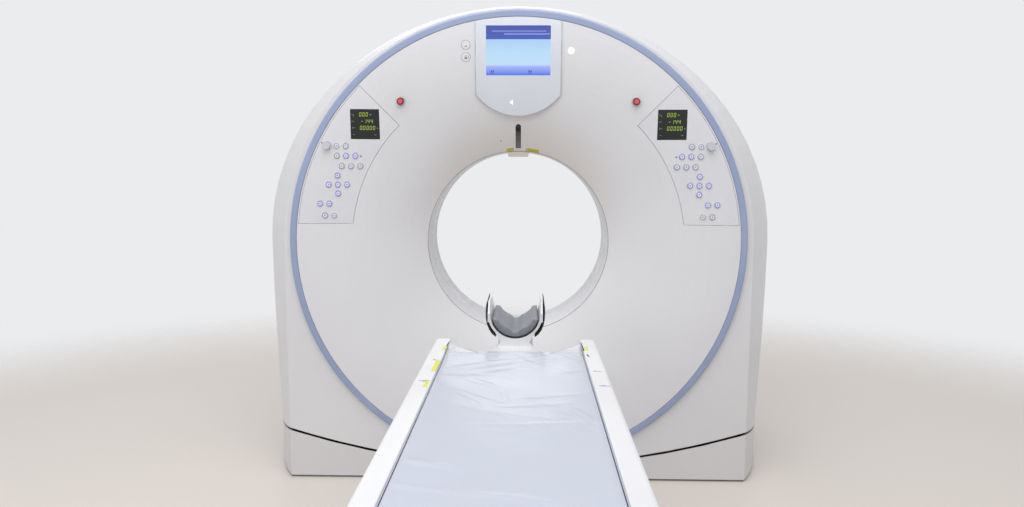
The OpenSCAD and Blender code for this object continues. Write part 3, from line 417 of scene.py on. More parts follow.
def slot_window_finish():
    """Smoked acrylic over the laser: black at its top, greyer where it curves to the light."""
    material, tree, shader, place = new_finish(
        "smoked_acrylic", "#0c0c0d", 0.18, Coat_Weight=0.3
    )
    greys = [(0.0, "#938f89"), (0.66, "#5b5854"), (0.74, "#0b0b0c")]
    fade = ramp(tree, height_in(tree, place, "laser_window"), greys)
    tree.links.new(fade, shader.inputs["Base Color"])
    # a grid of printed dots 5 mm apart lets the beam through
    dots = add(
        tree,
        "ShaderNodeTexVoronoi",
        {"Vector": place, "Scale": 1 / (5 * MM), "Randomness": 0.25},
    )
    mesh = add(
        tree,
        "ShaderNodeMapRange",
        {"Value": dots.outputs["Distance"], "From Min": 0.2, "From Max": 0.5, "To Max": 0.55},
    )
    tint(tree, shader, mesh.outputs[0], "#1c1b1a")
    uneven_gloss(tree, shader, place, 0.02, 0.12, 0.24)
    return material


def stop_finish():
    """Moulded polyamide stop button: a darker skirt round a red crown, seen from the front."""
    material, tree, shader, place = new_finish("red_polyamide", "#dc5662", 0.35)
    low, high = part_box("right_emergency_stop")
    centre = (low + high) / 2
    # one pattern serves both sides of the gantry
    mirrored = add(tree, "ShaderNodeVectorMath", {0: place}, operation="ABSOLUTE").outputs[0]
    reach = reach_from(tree, mirrored, centre.x, centre.z)
    crown_radius, skirt_radius = 0.0086, 0.0098
    skirt = add(
        tree,
        "ShaderNodeMapRange",
        {"Value": reach, "From Min": crown_radius, "From Max": skirt_radius},
    )
    tint(tree, shader, skirt.outputs[0], "#7b1f2a")
    uneven_gloss(tree, shader, place, 0.006, 0.28, 0.42)
    relief(tree, shader, grain(tree, place, 0.8 * MM), 0.02 * MM)
    return material


def vinyl_finish():
    """Polyurethane-coated nylon: a smooth pale cover whose thin gloss catches each fold."""
    material, tree, shader, place = new_finish(
        "coated_nylon", colours().mattress, 0.34, Coat_Weight=0.35, Coat_Roughness=0.16
    )
    drifting(tree, shader, place, "#c3c9d8", 0.3, 0.7)
    uneven_gloss(tree, shader, place, 0.12, 0.28, 0.42)
    # the knit below the coat is 0.6 mm; drawn at 1.5 mm so that it shows
    relief(tree, shader, grain(tree, place, 1.5 * MM), 0.03 * MM)
    # creases of the thin cover: soft ridges about 40 to 120 mm apart that slant two ways, in patches
    long_and_narrow = (1.4, 0.31, 1)
    crest = 0.06
    patches = add(
        tree, "ShaderNodeTexNoise", {"Vector": place, "Scale": 1 / 0.35, "Detail": 1.0}
    ).outputs["Fac"]
    share = add(
        tree, "ShaderNodeMapRange", {"Value": patches, "From Min": 0.42, "From Max": 0.62}
    ).outputs[0]
    # they lean one way towards the head end and the other way towards the foot end
    head_end, foot_end = -1.6, -2.1
    along = add(tree, "ShaderNodeSeparateXYZ", {"Vector": place}).outputs["Y"]
    for turn, size, depth, start, end in (
        (-50, 0.34, 2.4 * MM, foot_end, head_end),
        (38, 0.42, 2.0 * MM, head_end, foot_end),
    ):
        part = add(
            tree, "ShaderNodeMapRange", {"Value": along, "From Min": start, "From Max": end}
        ).outputs[0]
        turned = add(
            tree,
            "ShaderNodeMapping",
            {"Vector": place, "Rotation": (0, 0, math.radians(turn)), "Scale": long_and_narrow},
            vector_type="TEXTURE",
        )
        cloud = add(
            tree,
            "ShaderNodeTexNoise",
            {"Vector": turned.outputs[0], "Scale": 1 / size, "Detail": 2.0, "Distortion": 0.3},
        )
        middle = add(
            tree, "ShaderNodeMath", {0: cloud.outputs["Fac"], 1: 0.5}, operation="SUBTRACT"
        )
        side = add(tree, "ShaderNodeMath", {0: middle.outputs[0]}, operation="ABSOLUTE")
        ridge = add(
            tree,
            "ShaderNodeMapRange",
            {"Value": side.outputs[0], "From Min": 0.0, "From Max": crest, "To Min": 1, "To Max": 0},
            interpolation_type="SMOOTHSTEP",
        )
        patch = add(tree, "ShaderNodeMath", {0: part, 1: share}, operation="MULTIPLY")
        height = add(
            tree, "ShaderNodeMath", {0: ridge.outputs[0], 1: patch.outputs[0]}, operation="MULTIPLY"
        )
        relief(tree, shader, height.outputs[0], depth)
    return material


def foam_finish():
    """Skinned polyurethane foam: a dull grey skin with fine pores."""
    material, tree, shader, place = new_finish(
        "skinned_foam", "#83858f", 0.62, Sheen_Weight=0.25, Sheen_Roughness=0.5
    )
    drifting(tree, shader, place, "#75777f", 0.03, 0.9)
    # pores are under 1 mm across; drawn at 1.6 mm so that they show
    pores = add(tree, "ShaderNodeTexVoronoi", {"Vector": place, "Scale": 1 / (1.6 * MM)})
    relief(tree, shader, pores.outputs["Distance"], 0.12 * MM)
    return material


def carbon_finish():
    """Carbon-fibre laminate under clear resin: a twill of 4 mm tows, dark and glossy."""
    material, tree, shader, place = new_finish(
        "carbon_laminate", "#17181a", 0.32, Coat_Weight=0.8, Coat_Roughness=0.08
    )
    tow = 4 * MM
    tows = []
    for turn in (math.radians(45), math.radians(-45)):
        turned = add(
            tree, "ShaderNodeMapping", {"Vector": place, "Rotation": (0, 0, turn)}
        )
        tows.append(
            add(
                tree,
                "ShaderNodeTexWave",
                {"Vector": turned.outputs[0], "Scale": 1 / (2 * math.pi * tow)},
            ).outputs["Fac"]
        )
    weave = add(tree, "ShaderNodeMath", {0: tows[0], 1: tows[1]}, operation="GREATER_THAN")
    tint(tree, shader, weave.outputs[0], "#2c2e33")
    relief(tree, shader, weave.outputs[0], 0.05 * MM)
    return material


def film_finish(name, colour, clear, roughness):
    """Thin polyester or vinyl film: partly clear, with a wet-looking gloss."""
    material, tree, shader, place = new_finish(
        name, colour, roughness, Transmission_Weight=clear, IOR=1.5
    )
    uneven_gloss(tree, shader, place, 0.08, roughness * 0.6, roughness * 1.5)
    relief(tree, shader, grain(tree, place, 25 * MM), 0.3 * MM)
    return material


def slip_ring_finish():
    """Brass slip rings: concentric tracks polished by brushes, between dark insulating rings."""
    material, tree, shader, place = new_finish("brush_polished_brass", "#c79a4b", 0.25, Metallic=1.0)
    reach = reach_from(tree, place, 0, sizes().iso_height)
    # tracks lie 2 pi times this length apart, so about 7.5 mm
    pace = 1.2 * MM
    rings = add(tree, "ShaderNodeMath", {0: reach, 1: 1 / pace}, operation="MULTIPLY")
    waves = add(tree, "ShaderNodeMath", {0: rings.outputs[0]}, operation="SINE")
    relief(tree, shader, waves.outputs[0], 0.02 * MM)
    drifting(tree, shader, place, "#8c6a36", 0.05, 0.6)
    return material


def wound_copper():
    """Enamelled copper windings packed in a stator: reddish strands with dark varnish between."""
    material, tree, shader, place = new_finish("enamelled_copper", "#a8613a", 0.35, Metallic=0.9)
    strands = add(
        tree, "ShaderNodeTexWave", {"Vector": place, "Scale": 40, "Distortion": 1.5}
    )
    relief(tree, shader, strands.outputs["Fac"], 0.6 * MM)
    drifting(tree, shader, place, "#6f3d24", 0.02, 0.8)
    return material


def brushed_alloy(name, colour):
    """Extruded aluminium with a brushed, anodised skin: fine lines along its length."""
    roughness = 0.36
    material, tree, shader, place = new_finish(name, colour, roughness, Metallic=0.85)
    drifting(tree, shader, place, "#a9acb1", 0.2, 0.5)
    uneven_gloss(tree, shader, place, 0.1, roughness - 0.08, roughness + 0.1)
    relief(tree, shader, grain(tree, place, 6 * MM, 2.0, (12, 0.3, 12)), 0.02 * MM)
    return material


def rubber(name, colour):
    """Moulded rubber: dull and slightly dusty."""
    material, tree, shader, place = new_finish(name, colour, 0.7)
    drifting(tree, shader, place, "#4a4b4e", 0.04, 0.35)
    relief(tree, shader, grain(tree, place, 1.2 * MM), 0.05 * MM)
    return material


def tape_finish(name, colour, spot):
    """Printed vinyl tape: flat colour, slightly rubbed at its surface."""
    material, tree, shader, place = new_finish(name, colour, 0.45)
    drifting(tree, shader, place, spot, 0.012, 0.7)
    relief(tree, shader, grain(tree, place, 3 * MM), 0.05 * MM)
    return material


def ring_finish():
    """Painted accent ring: an even satin blue-grey with faint polishing marks round it."""
    material, tree, shader, place = new_finish(
        "satin_blue_paint", colours().ring, 0.36, Coat_Weight=0.2, Coat_Roughness=0.2
    )
    drifting(tree, shader, place, "#9aa8c8", 0.3, 0.8)
    uneven_gloss(tree, shader, place, 0.1, 0.3, 0.44)
    relief(tree, shader, grain(tree, place, 2.2 * MM), 0.03 * MM)
    return material


FINISHES = {
    "casing": lambda: painted_cover("painted_glass_fibre", colours().casing, REAR_SEAM_Y),
    "base_cover": lambda: painted_cover("painted_base_cover", "#d6d4d5"),
    "front_moulding": moulding_finish,
    "ring_blue": ring_finish,
    "display_housing": lambda: moulded_plastic("pale_abs", "#dcdfe7", "#d6dae4"),
    "screen": screen_finish,
    "readout": lambda: moulded_plastic("black_acrylic", "#101210", "#181b18", 0.2, 0.3),
    "key": lambda: moulded_plastic("white_key_mat", "#e6e7ee", "#dcdff0"),
    "panel": lambda: moulded_plastic("moulded_panel", "#dcdcdf", "#d6d7dd"),
    "tab": lambda: moulded_plastic("beige_tab", "#c9c3bb", "#bfb9b1", 0.45),
    "black_window": slot_window_finish,
    "lamp": lamp_finish,
    "lit": lambda: glow("lit_mark", "#ffffff", 0.5, "#f1f3f4"),
    "window_film": lambda: film_finish("polyester_window", "#e9ebee", 0.15, 0.3),
    "stop_red": stop_finish,
    "knob": lambda: moulded_plastic("grey_push_button", "#c9cbd2", "#bfc2cc", 0.3),
    "painted_frame": lambda: cast_metal("grey_frame_enamel", "#70757a", "#666b70"),
    "cast_frame": lambda: cast_metal("cast_iron_enamel", "#5d646b", "#525960"),
    "machined_steel": lambda: machined_metal("machined_steel", "#b9bcbf", 0.28),
    "column_alu": lambda: brushed_alloy("column_aluminium", "#b4b7bb"),
    "copper": wound_copper,
    "slip_tracks": slip_ring_finish,
    "brush_holder": lambda: moulded_plastic("brown_phenolic", "#4a2f20", "#3b261b", 0.45),
    "tube_housing": lambda: cast_metal("tube_housing_enamel", "#8a9199", "#7c838c", 0.4),
    "detector": lambda: cast_metal("detector_housing", "#4f6a86", "#46607b", 0.38),
    "generator": lambda: cast_metal("generator_tank", "#3f4a4e", "#374145", 0.42),
    "weight": lambda: machined_metal("weight_plates", "#7b7d80", 0.42),
    "couch_white": lambda: painted_cover("white_powder_coat", colours().couch),
    "couch_alu": lambda: brushed_alloy("couch_aluminium", "#c2c5c9"),
    "carbon": carbon_finish,
    "mattress": vinyl_finish,
    "foam": foam_finish,
    "black_liner": lambda: rubber("black_liner_rubber", "#1d1e20"),
    "motor": lambda: cast_metal("motor_enamel", "#2f3336", "#383c40", 0.4),
    "digit": lambda: glow("green_segments", "#b4d43a", 0.8),
    "label_grey": lambda: tape_finish("printed_grey", "#8d9199", "#9ea2ab"),
    # grey outlines round the lamps, and painted shade along the display housing's edge
    "grey_outline": lambda: tape_finish("grey_edge_line", "#a9adb6", "#b6bac3"),
    "label_pale": lambda: glow("pale_legend", "#a8b09a", 0.45),
    "key_ring_blue": lambda: tape_finish("blue_key_print", "#7d7de0", "#9294ea"),
    "key_ring_grey": lambda: tape_finish("grey_key_print", "#9a9ba3", "#adaeb8"),
    "key_mark_blue": lambda: tape_finish("blue_key_mark", "#5656ad", "#6c6cc4"),
    "key_mark_grey": lambda: tape_finish("grey_key_mark", "#5f6066", "#74757c"),
    "key_cap": lambda: moulded_plastic("white_key_cap", "#eceef6", "#e3e6f6", 0.3),
    "screen_line": lambda: glow("screen_line", "#8b9ae8", 0.85),
    "screen_icon": lambda: glow("screen_icon", "#3a4fb0", 0.8),
    "tape_yellow": lambda: tape_finish("yellow_tape", "#dfdc46", "#e6e58c"),
    "tape_olive": lambda: tape_finish("olive_tape", "#b7b636", "#96913a"),
    "scuff": lambda: tape_finish("black_scuff", "#4b4b50", "#85868b"),
    "edge_bead": lambda: rubber("edge_sealant", "#8c8883"),
    # painted shade: a dull dark strip for the shade on the rails' inner walls
    "painted_shade": lambda: rubber("painted_shade_strip", "#2b2a2c"),
    "screw": lambda: machined_metal("zinc_screw", "#a4a7aa", 0.3),
    "screw_recess": lambda: rubber("screw_recess", "#232427"),
    "fin_band": lambda: rubber("padded_band", "#3c3e43"),
    "clear_film": lambda: film_finish("clear_vinyl", "#eff1f5", 0.35, 0.38),
}


def dress(*nodes, with_finish):
    """Gives CAD nodes a finish."""
    for name in nodes:
        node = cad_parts[name]
        node.data.materials.clear()
        node.data.materials.append(finish(with_finish))


# Shapes


def bowl_y(radius):
    """Depth of the dished front at that radius from the bore axis."""
    s = sizes()
    part = (s.ring_radius - radius) / (s.ring_radius - s.bore_radius)
    return s.front_y + s.bowl_depth * part * part


def front_point(x, up, lift):
    """A point on the dished front, lifted off it along its normal."""
    s = sizes()
    radius = math.hypot(x, up)
    point = Vector((x, bowl_y(radius), s.iso_height + up))
    return point + front_normal(x, up) * lift


def front_normal(x, up):
    """Direction that the dished front faces at that point."""
    s = sizes()
    radius = max(math.hypot(x, up), 1e-6)
    span = s.ring_radius - s.bore_radius
    slope = -2 * s.bowl_depth * (s.ring_radius - radius) / span / span
    return Vector((slope * x / radius, -1, slope * up / radius)).normalized()


def display_point(x, up, lift):
    """A point on the display housing, which follows the bowl and stands out towards its tip."""
    at_top, at_tip = 0.004, 0.018
    stand = at_top + (at_tip - at_top) * (DISPLAY_TOP - up) / (DISPLAY_TOP - DISPLAY_TIP)
    return Vector((x, bowl_y(up) - stand - lift, sizes().iso_height + up))


def new_piece(name, build, finishes, body, smooth=True, bevel=0.0):
    """Makes a piece from a bmesh, with its normals outwards, and lets it ride on a body."""
    mesh = bpy.data.meshes.new(name)
    bmesh.ops.remove_doubles(build, verts=build.verts, dist=1e-6)
    bmesh.ops.recalc_face_normals(build, faces=build.faces)
    for face in build.faces:
        face.smooth = smooth
    build.to_mesh(mesh)
    build.free()
    if smooth:
        mesh.set_sharp_from_angle(angle=math.radians(35))
    for each in finishes:
        mesh.materials.append(finish(each))
    thing = bpy.data.objects.new(name, mesh)
    bpy.context.scene.collection.objects.link(thing)
    if bevel:
        edge = thing.modifiers.new("bevel", "BEVEL")
        edge.width, edge.segments, edge.limit_method = bevel, 2, "ANGLE"
    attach(thing, body)
    return thing


def plate(build, outline, point, front, back, material=0):
    """Adds a thin plate over an outline of (x, up), between two lifts off a surface."""
    top = [build.verts.new(point(x, up, front)) for x, up in outline]
    low = [build.verts.new(point(x, up, back)) for x, up in outline]
    faces = [build.faces.new(top), build.faces.new(low[::-1])]
    for i in range(len(outline)):
        j = (i + 1) % len(outline)
        faces.append(build.faces.new((top[j], top[i], low[i], low[j])))
    for face in faces:
        face.material_index = material


def disc(x, up, radius, count=20, turn=0.0):
    """Outline of a disc or a regular polygon."""
    angles = [turn + 2 * math.pi * i / count for i in range(count)]
    return [(x + radius * math.cos(a), up + radius * math.sin(a)) for a in angles]


def rounded_corner(x, up, radius, start, steps):
    """Quarter circle round that centre, from its start angle in degrees."""
    angles = [math.radians(start + 90 / steps * i) for i in range(steps + 1)]
    return [(x + radius * math.cos(a), up + radius * math.sin(a)) for a in angles]


def bar(x0, x1, up0, up1):
    """Outline of an upright bar between two sides and two heights."""
    return [(x0, up0), (x1, up0), (x1, up1), (x0, up1)]


def skin(build, first, second):
    """Adds the faces between two rings of as many points."""
    count = len(first)
    for k in range(count):
        n = (k + 1) % count
        build.faces.new((first[k], first[n], second[n], second[k]))


def tube_along(build, points, radius, sides=8, closed=False):
    """Adds a round bead along a line of points, closed at both ends or into a ring."""
    rings = []
    count = len(points)
    for i, point in enumerate(points):
        ahead = points[(i + 1) % count] if closed or i < count - 1 else point
        behind = points[i - 1] if closed or i else point
        way = (ahead - behind).normalized()
        side = way.cross(Vector((0, 1, 0)))
        if side.length < 0.1:
            side = way.cross(Vector((1, 0, 0)))
        side.normalize()
        up = side.cross(way)
        ring = []
        for k in range(sides):
            a = 2 * math.pi * k / sides
            ring.append(build.verts.new(point + radius * (math.cos(a) * side + math.sin(a) * up)))
        rings.append(ring)
    for i in range(count if closed else count - 1):
        skin(build, rings[i], rings[(i + 1) % count])
    if not closed:
        build.faces.new(rings[0][::-1])
        build.faces.new(rings[-1])


def ring_on_front(build, x, up, radius, bead, lift, sides=6, count=40):
    """Adds a round bead along a circle on the dished front; x and up are its centre."""
    points = [front_point(*at, lift) for at in disc(x, up, radius, count)]
    tube_along(build, points, bead, sides, closed=True)


def loft(build, sections):
    """Adds a closed skin over equal sections, with a cap at each end."""
    rings = [[build.verts.new(p) for p in section] for section in sections]
    for first, second in zip(rings, rings[1:]):
        skin(build, first, second)
    build.faces.new(rings[0][::-1])
    build.faces.new(rings[-1])


# Pieces that repeat


def painted(tree, geometry, colour):
    """Gives geometry in a node tree its finish."""
    return add(
        tree, "GeometryNodeSetMaterial", {"Geometry": geometry, "Material": colour}
    ).outputs[0]


def on_points(tree, points, shape, aim):
    """Puts a shape on every point, turned to the point's own direction."""
    return add(
        tree, "GeometryNodeInstanceOnPoints", {"Points": points, "Instance": shape, "Rotation": aim}
    ).outputs[0]


def joined(tree, *shapes):
    """Joins shapes in a node tree into one."""
    join = add(tree, "GeometryNodeJoinGeometry")
    for shape in shapes:
        tree.links.new(shape, join.inputs[0])
    return join.outputs[0]


def stud_tree():
    """Node tree of round studs on points: a cap, a printed ring and a mark, each with a finish."""
    tree = bpy.data.node_groups.new("round studs", "GeometryNodeTree")
    face = tree.interface
    face.new_socket("Geometry", in_out="INPUT", socket_type="NodeSocketGeometry")
    for name, default in (
        ("Cap Radius", 0.0118),
        ("Cap Height", 0.0016),
        ("Ring Radius", 0.0085),
        ("Ring Width", 0.0012),
        ("Mark Radius", 0.0036),
    ):
        face.new_socket(name, in_out="INPUT", socket_type="NodeSocketFloat").default_value = default
    face.new_socket("Mark Sides", in_out="INPUT", socket_type="NodeSocketInt").default_value = 3
    for name in ("Cap Finish", "Ring Finish", "Mark Finish"):
        face.new_socket(name, in_out="INPUT", socket_type="NodeSocketMaterial")
    face.new_socket("Geometry", in_out="OUTPUT", socket_type="NodeSocketGeometry")
    given = add(tree, "NodeGroupInput").outputs
    half = add(
        tree, "ShaderNodeMath", {0: given["Cap Height"], 1: 0.5}, operation="MULTIPLY"
    ).outputs[0]
    lift = add(tree, "ShaderNodeCombineXYZ", {2: half}).outputs[0]
    top = add(tree, "ShaderNodeCombineXYZ", {2: given["Cap Height"]}).outputs[0]
    body = add(
        tree,
        "GeometryNodeMeshCylinder",
        {"Vertices": 28, "Radius": given["Cap Radius"], "Depth": given["Cap Height"]},
    )
    cap = add(
        tree, "GeometryNodeTransform", {"Geometry": body.outputs["Mesh"], "Translation": lift}
    )
    path = add(
        tree, "GeometryNodeCurvePrimitiveCircle", {"Resolution": 24, "Radius": given["Ring Radius"]}
    )
    section = add(
        tree, "GeometryNodeCurvePrimitiveCircle", {"Resolution": 4, "Radius": given["Ring Width"]}
    )
    bead = add(
        tree,
        "GeometryNodeCurveToMesh",
        {"Curve": path.outputs["Curve"], "Profile Curve": section.outputs["Curve"]},
    )
    flat = add(
        tree,
        "GeometryNodeTransform",
        {"Geometry": bead.outputs[0], "Scale": (1, 1, 0.3), "Translation": top},
    )
    glyph = add(
        tree,
        "GeometryNodeMeshCylinder",
        {"Vertices": given["Mark Sides"], "Radius": given["Mark Radius"], "Depth": 0.0006},
    )
    # marks point in one of four ways, by a fixed seed
    quarter = add(tree, "FunctionNodeRandomValue", {4: 0, 5: 3, "Seed": 4}, data_type="INT")
    turn = add(
        tree, "ShaderNodeMath", {0: quarter.outputs[2], 1: math.pi / 2}, operation="MULTIPLY"
    )
    spin = add(tree, "ShaderNodeCombineXYZ", {2: turn.outputs[0]})
    glyph_up = add(
        tree, "GeometryNodeTransform", {"Geometry": glyph.outputs["Mesh"], "Translation": top}
    )
    facing = add(
        tree, "GeometryNodeInputNamedAttribute", {"Name": "facing"}, data_type="FLOAT_VECTOR"
    )
    aim = add(
        tree,
        "FunctionNodeAlignRotationToVector",
        {"Vector": facing.outputs["Attribute"]},
        axis="Z",
    ).outputs[0]
    stud = joined(
        tree,
        painted(tree, flat.outputs[0], given["Ring Finish"]),
        painted(tree, cap.outputs[0], given["Cap Finish"]),
    )
    mark = painted(tree, glyph_up.outputs[0], given["Mark Finish"])
    turned = add(
        tree,
        "GeometryNodeRotateInstances",
        {
            "Instances": on_points(tree, given["Geometry"], mark, aim),
            "Rotation": spin.outputs[0],
            "Local Space": True,
        },
    )
    both = joined(tree, turned.outputs[0], on_points(tree, given["Geometry"], stud, aim))
    real = add(tree, "GeometryNodeRealizeInstances", {"Geometry": both})
    add(tree, "NodeGroupOutput", {"Geometry": real.outputs[0]})
    return tree


def studs(name, places, values, body):
    """Makes one mesh of round studs; places are (point, facing) pairs."""
    if "round studs" not in MADE:
        MADE["round studs"] = stud_tree()
    tree = MADE["round studs"]
    mesh = bpy.data.meshes.new(name)
    mesh.from_pydata([p for p, _ in places], [], [])
    facing = mesh.attributes.new("facing", "FLOAT_VECTOR", "POINT")
    facing.data.foreach_set("vector", [c for _, way in places for c in way])
    thing = bpy.data.objects.new(name, mesh)
    bpy.context.scene.collection.objects.link(thing)
    nodes = thing.modifiers.new("studs", "NODES")
    nodes.node_group = tree
    for socket in tree.interface.items_tree:
        if socket.in_out == "INPUT" and socket.name in values:
            nodes[socket.identifier] = values[socket.name]
    bpy.context.view_layer.update()
    shown = thing.evaluated_get(bpy.context.evaluated_depsgraph_get())
    made = bpy.data.meshes.new_from_object(shown)
    thing.modifiers.remove(nodes)
    thing.data = made
    made.name = name
    if not made.polygons:
        raise RuntimeError(f"{name} has no faces")
    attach(thing, body)
    return thing


class SCANNER_OT_covers(bpy.types.Operator):
    """Finish the gantry's painted covers, the ring and the dished front"""

    bl_idname = "scanner.covers"
    bl_label = "Gantry covers"

    def execute(self, context):
        dress("outer_shell", "rear_cover", with_finish="casing")
        dress("base_front_cover", "base_rear_cover", "cable_duct", with_finish="base_cover")
        dress("front_cover", "rear_funnel", with_finish="front_moulding")
        dress("left_control_panel", "right_control_panel", with_finish="panel")
        dress("bore_tab", with_finish="tab")
        dress("accent_ring", with_finish="ring_blue")
        dress("scan_window", with_finish="window_film")
        return {"FINISHED"}


class SCANNER_OT_display(bpy.types.Operator):
    """Finish the display housing and draw the picture's plain bands and small marks"""

    bl_idname = "scanner.display"
    bl_label = "Display"

    def execute(self, context):
        dress("display_panel", with_finish="display_housing")
        dress("touch_screen", with_finish="screen")
        low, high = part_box("touch_screen")
        left, width = low.x, high.x - low.x
        iso = sizes().iso_height
        base, height = low.z - iso, high.z - low.z

        def draw(build, x0, x1, from_top, thick):
            """Adds a bar of the picture; its place is a share of the screen's width and height."""
            top = base + height * (1 - from_top)
            outline = bar(left + width * x0, left + width * x1, top - thick, top)
            plate(build, outline, display_point, 0.0012, 0.0001)

        lines = bmesh.new()
        draw(lines, 0.09, 0.93, 0.105, 0.0042)
        draw(lines, 0.28, 0.985, 0.158, 0.006)
        new_piece("screen_lines", lines, ["screen_line"], "gantry", smooth=False)
        self.rim()
        icons = bmesh.new()
        for x in (0.07, 0.66):
            draw(icons, x, x + 0.018, 0.9, 0.009)
            draw(icons, x + 0.03, x + 0.05, 0.905, 0.007)
            draw(icons, x - 0.005, x + 0.055, 0.955, 0.002)
        new_piece("screen_icons", icons, ["screen_icon"], "gantry", smooth=False)
        mark = bmesh.new()
        triangle = [(-0.036, 0.586), (-0.022, 0.5765), (-0.022, 0.5955)]
        plate(mark, triangle, display_point, 0.0006, -0.001)
        new_piece("display_triangle", mark, ["lit"], "gantry", smooth=False)
        return {"FINISHED"}

    def rim(self):
        """Grey line of painted shade down both sides of the housing and round its curved lower end."""
        half, corner_up = 0.173, 0.616
        sag = corner_up - DISPLAY_TIP
        arc = (half * half + sag * sag) / (2 * sag)
        swing = math.asin(half / arc)
        steps = 24
        levels = (0.9, 0.8, 0.7)
        edge = [(-half, up) for up in levels]
        for i in range(steps + 1):
            a = swing * (2 * i / steps - 1)
            edge.append((arc * math.sin(a), DISPLAY_TIP + arc * (1 - math.cos(a))))
        edge += [(half, up) for up in reversed(levels)]
        rim = bmesh.new()
        # painted shade: a grey bead along the housing's edge, where it stands out from the bowl
        tube_along(rim, [display_point(x, up, 0.0) for x, up in edge], 0.0012)
        new_piece("display_rim", rim, ["grey_outline"], "gantry")


# lit segments of each sign, lettered from the top clockwise, with g in the middle
SEGMENTS = {"0": "abcdef", "1": "bc", "4": "bcfg", "-": "g"}
READOUT_LIFTS = (0.0012, 0.0002)  # front and back of the readouts' signs, off the dished front


def digit(build, sign, x, up, height, width):
    """Adds one seven-segment sign; x and up are its lower left corner."""
    t = height * 0.115
    lean = height * 0.1
    middle = up + height / 2
    flat = (x + t * 0.6, x + width - t * 0.6)
    left, right = (x, x + t), (x + width - t, x + width)
    upper, lower = (middle + t * 0.3, up + height - t * 0.5), (up + t * 0.5, middle - t * 0.3)
    shapes = {
        "a": bar(*flat, up + height - t, up + height),
        "b": bar(*right, *upper),
        "c": bar(*right, *lower),
        "d": bar(*flat, up, up + t),
        "e": bar(*left, *lower),
        "f": bar(*left, *upper),
        "g": bar(*flat, middle - t / 2, middle + t / 2),
    }
    for key in SEGMENTS[sign]:
        outline = [(px + lean * (pz - up) / height, pz) for px, pz in shapes[key]]
        plate(build, outline, front_point, *READOUT_LIFTS)


class SCANNER_OT_panels(bpy.types.Operator):
    """Finish the control panels: key caps, readout digits, push buttons and stop buttons"""

    bl_idname = "scanner.panels"
    bl_label = "Control panels"

    # key places from the bore axis, in millimetres, on the right-hand panel
    blue = [
        (708, 366), (671, 366), (745, 285), (782, 248), (745, 248),
        (708, 248), (745, 211), (819, 169), (782, 169),
    ]
    grey = [(745, 406), (708, 406), (745, 366), (800.5, 120), (763.5, 120)]
    white = [(726.5, 324), (689.5, 324), (652.5, 324)]
    mat_lift = 0.0021  # the caps sit on the key mat, which stands out from the panel

    def execute(self, context):
        dress("keypads", with_finish="key")
        dress("readouts", with_finish="readout")
        dress("left_hold_button", "right_hold_button", with_finish="knob")
        dress("left_emergency_stop", "right_emergency_stop", with_finish="stop_red")
        self.keys()
        for side, name in ((-1, "left"), (1, "right")):
            self.readout(side, name)
            self.collars(side, name)
        return {"FINISHED"}

    def keys(self):
        groups = (
            ("blue_keys", self.blue, "key_ring_blue", "key_mark_blue"),
            ("grey_keys", self.grey, "key_ring_grey", "key_mark_grey"),
            ("white_keys", self.white, "key_ring_grey", "key_mark_blue"),
        )
        for name, places, ring, mark in groups:
            spots = [(side * x * MM, up * MM) for x, up in places for side in (-1, 1)]
            points = [(front_point(*at, self.mat_lift), front_normal(*at)) for at in spots]
            values = {
                "Cap Radius": sizes().key_radius,
                "Cap Height": 0.0014,
                "Ring Radius": 0.0094,
                "Ring Width": 0.0017,
                "Mark Radius": 0.0042,
                "Cap Finish": finish("key_cap"),
                "Ring Finish": finish(ring),
                "Mark Finish": finish(mark),
            }
            studs(name, points, values, "gantry")

    def readout(self, side, name):
        """Digits and plain bars for unit marks, in millimetres from the readout's upper left."""
        window_x, half_width = 627, 58.5
        left, top = side * window_x - half_width, 554.5
        height = sizes().digit_height
        width, pitch = height * 0.52, 13
        digits = bmesh.new()
        for text, x, down in (("000", 36, 21.3), ("-144", 42, 49), ("00000", 37.5, 75.3)):
            for i, sign in enumerate(text):
                at = ((left + x + pitch * i) * MM, (top - down) * MM - height / 2)
                digit(digits, sign, *at, height, width)
        new_piece(f"{name}_digits", digits, ["digit"], "gantry", smooth=False)
        legends = bmesh.new()
        for x, down, w, h in (
            (9, 21.3, 8, 2.2), (13, 26, 2.4, 7), (10, 49, 10, 2.4), (9, 75.3, 2.4, 9),
            (15, 75.3, 6, 2.4), (82, 22, 6, 6), (88, 49.5, 7, 3), (108, 76, 6, 3),
            (13, 103, 8, 2.2), (99, 103, 9, 2.2),
        ):
            middle, up = left + x, top - down
            sides = (middle - w / 2, middle + w / 2, up - h / 2, up + h / 2)
            plate(legends, bar(*[each * MM for each in sides]), front_point, *READOUT_LIFTS)
        new_piece(f"{name}_legends", legends, ["label_pale"], "gantry", smooth=False)

    def collars(self, side, name):
        """Rings round the push button and the stop button, and two small indicators."""
        rings = bmesh.new()
        for x, up, radius, bead in ((0.783, 0.406, 0.018, 0.0014), (0.479, 0.586, 0.0172, 0.0013)):
            ring_on_front(rings, side * x, up, radius, bead, 0.0003, sides=8)
        new_piece(f"{name}_collars", rings, ["knob"], "gantry")
        dots = bmesh.new()
        for x, up, radius in ((0.648, 0.364, 0.0032), (0.804, 0.418, 0.0028)):
            plate(dots, disc(side * x, up, radius), front_point, 0.0008, -0.001)
        new_piece(f"{name}_indicators", dots, ["key_mark_grey"], "gantry", smooth=False)


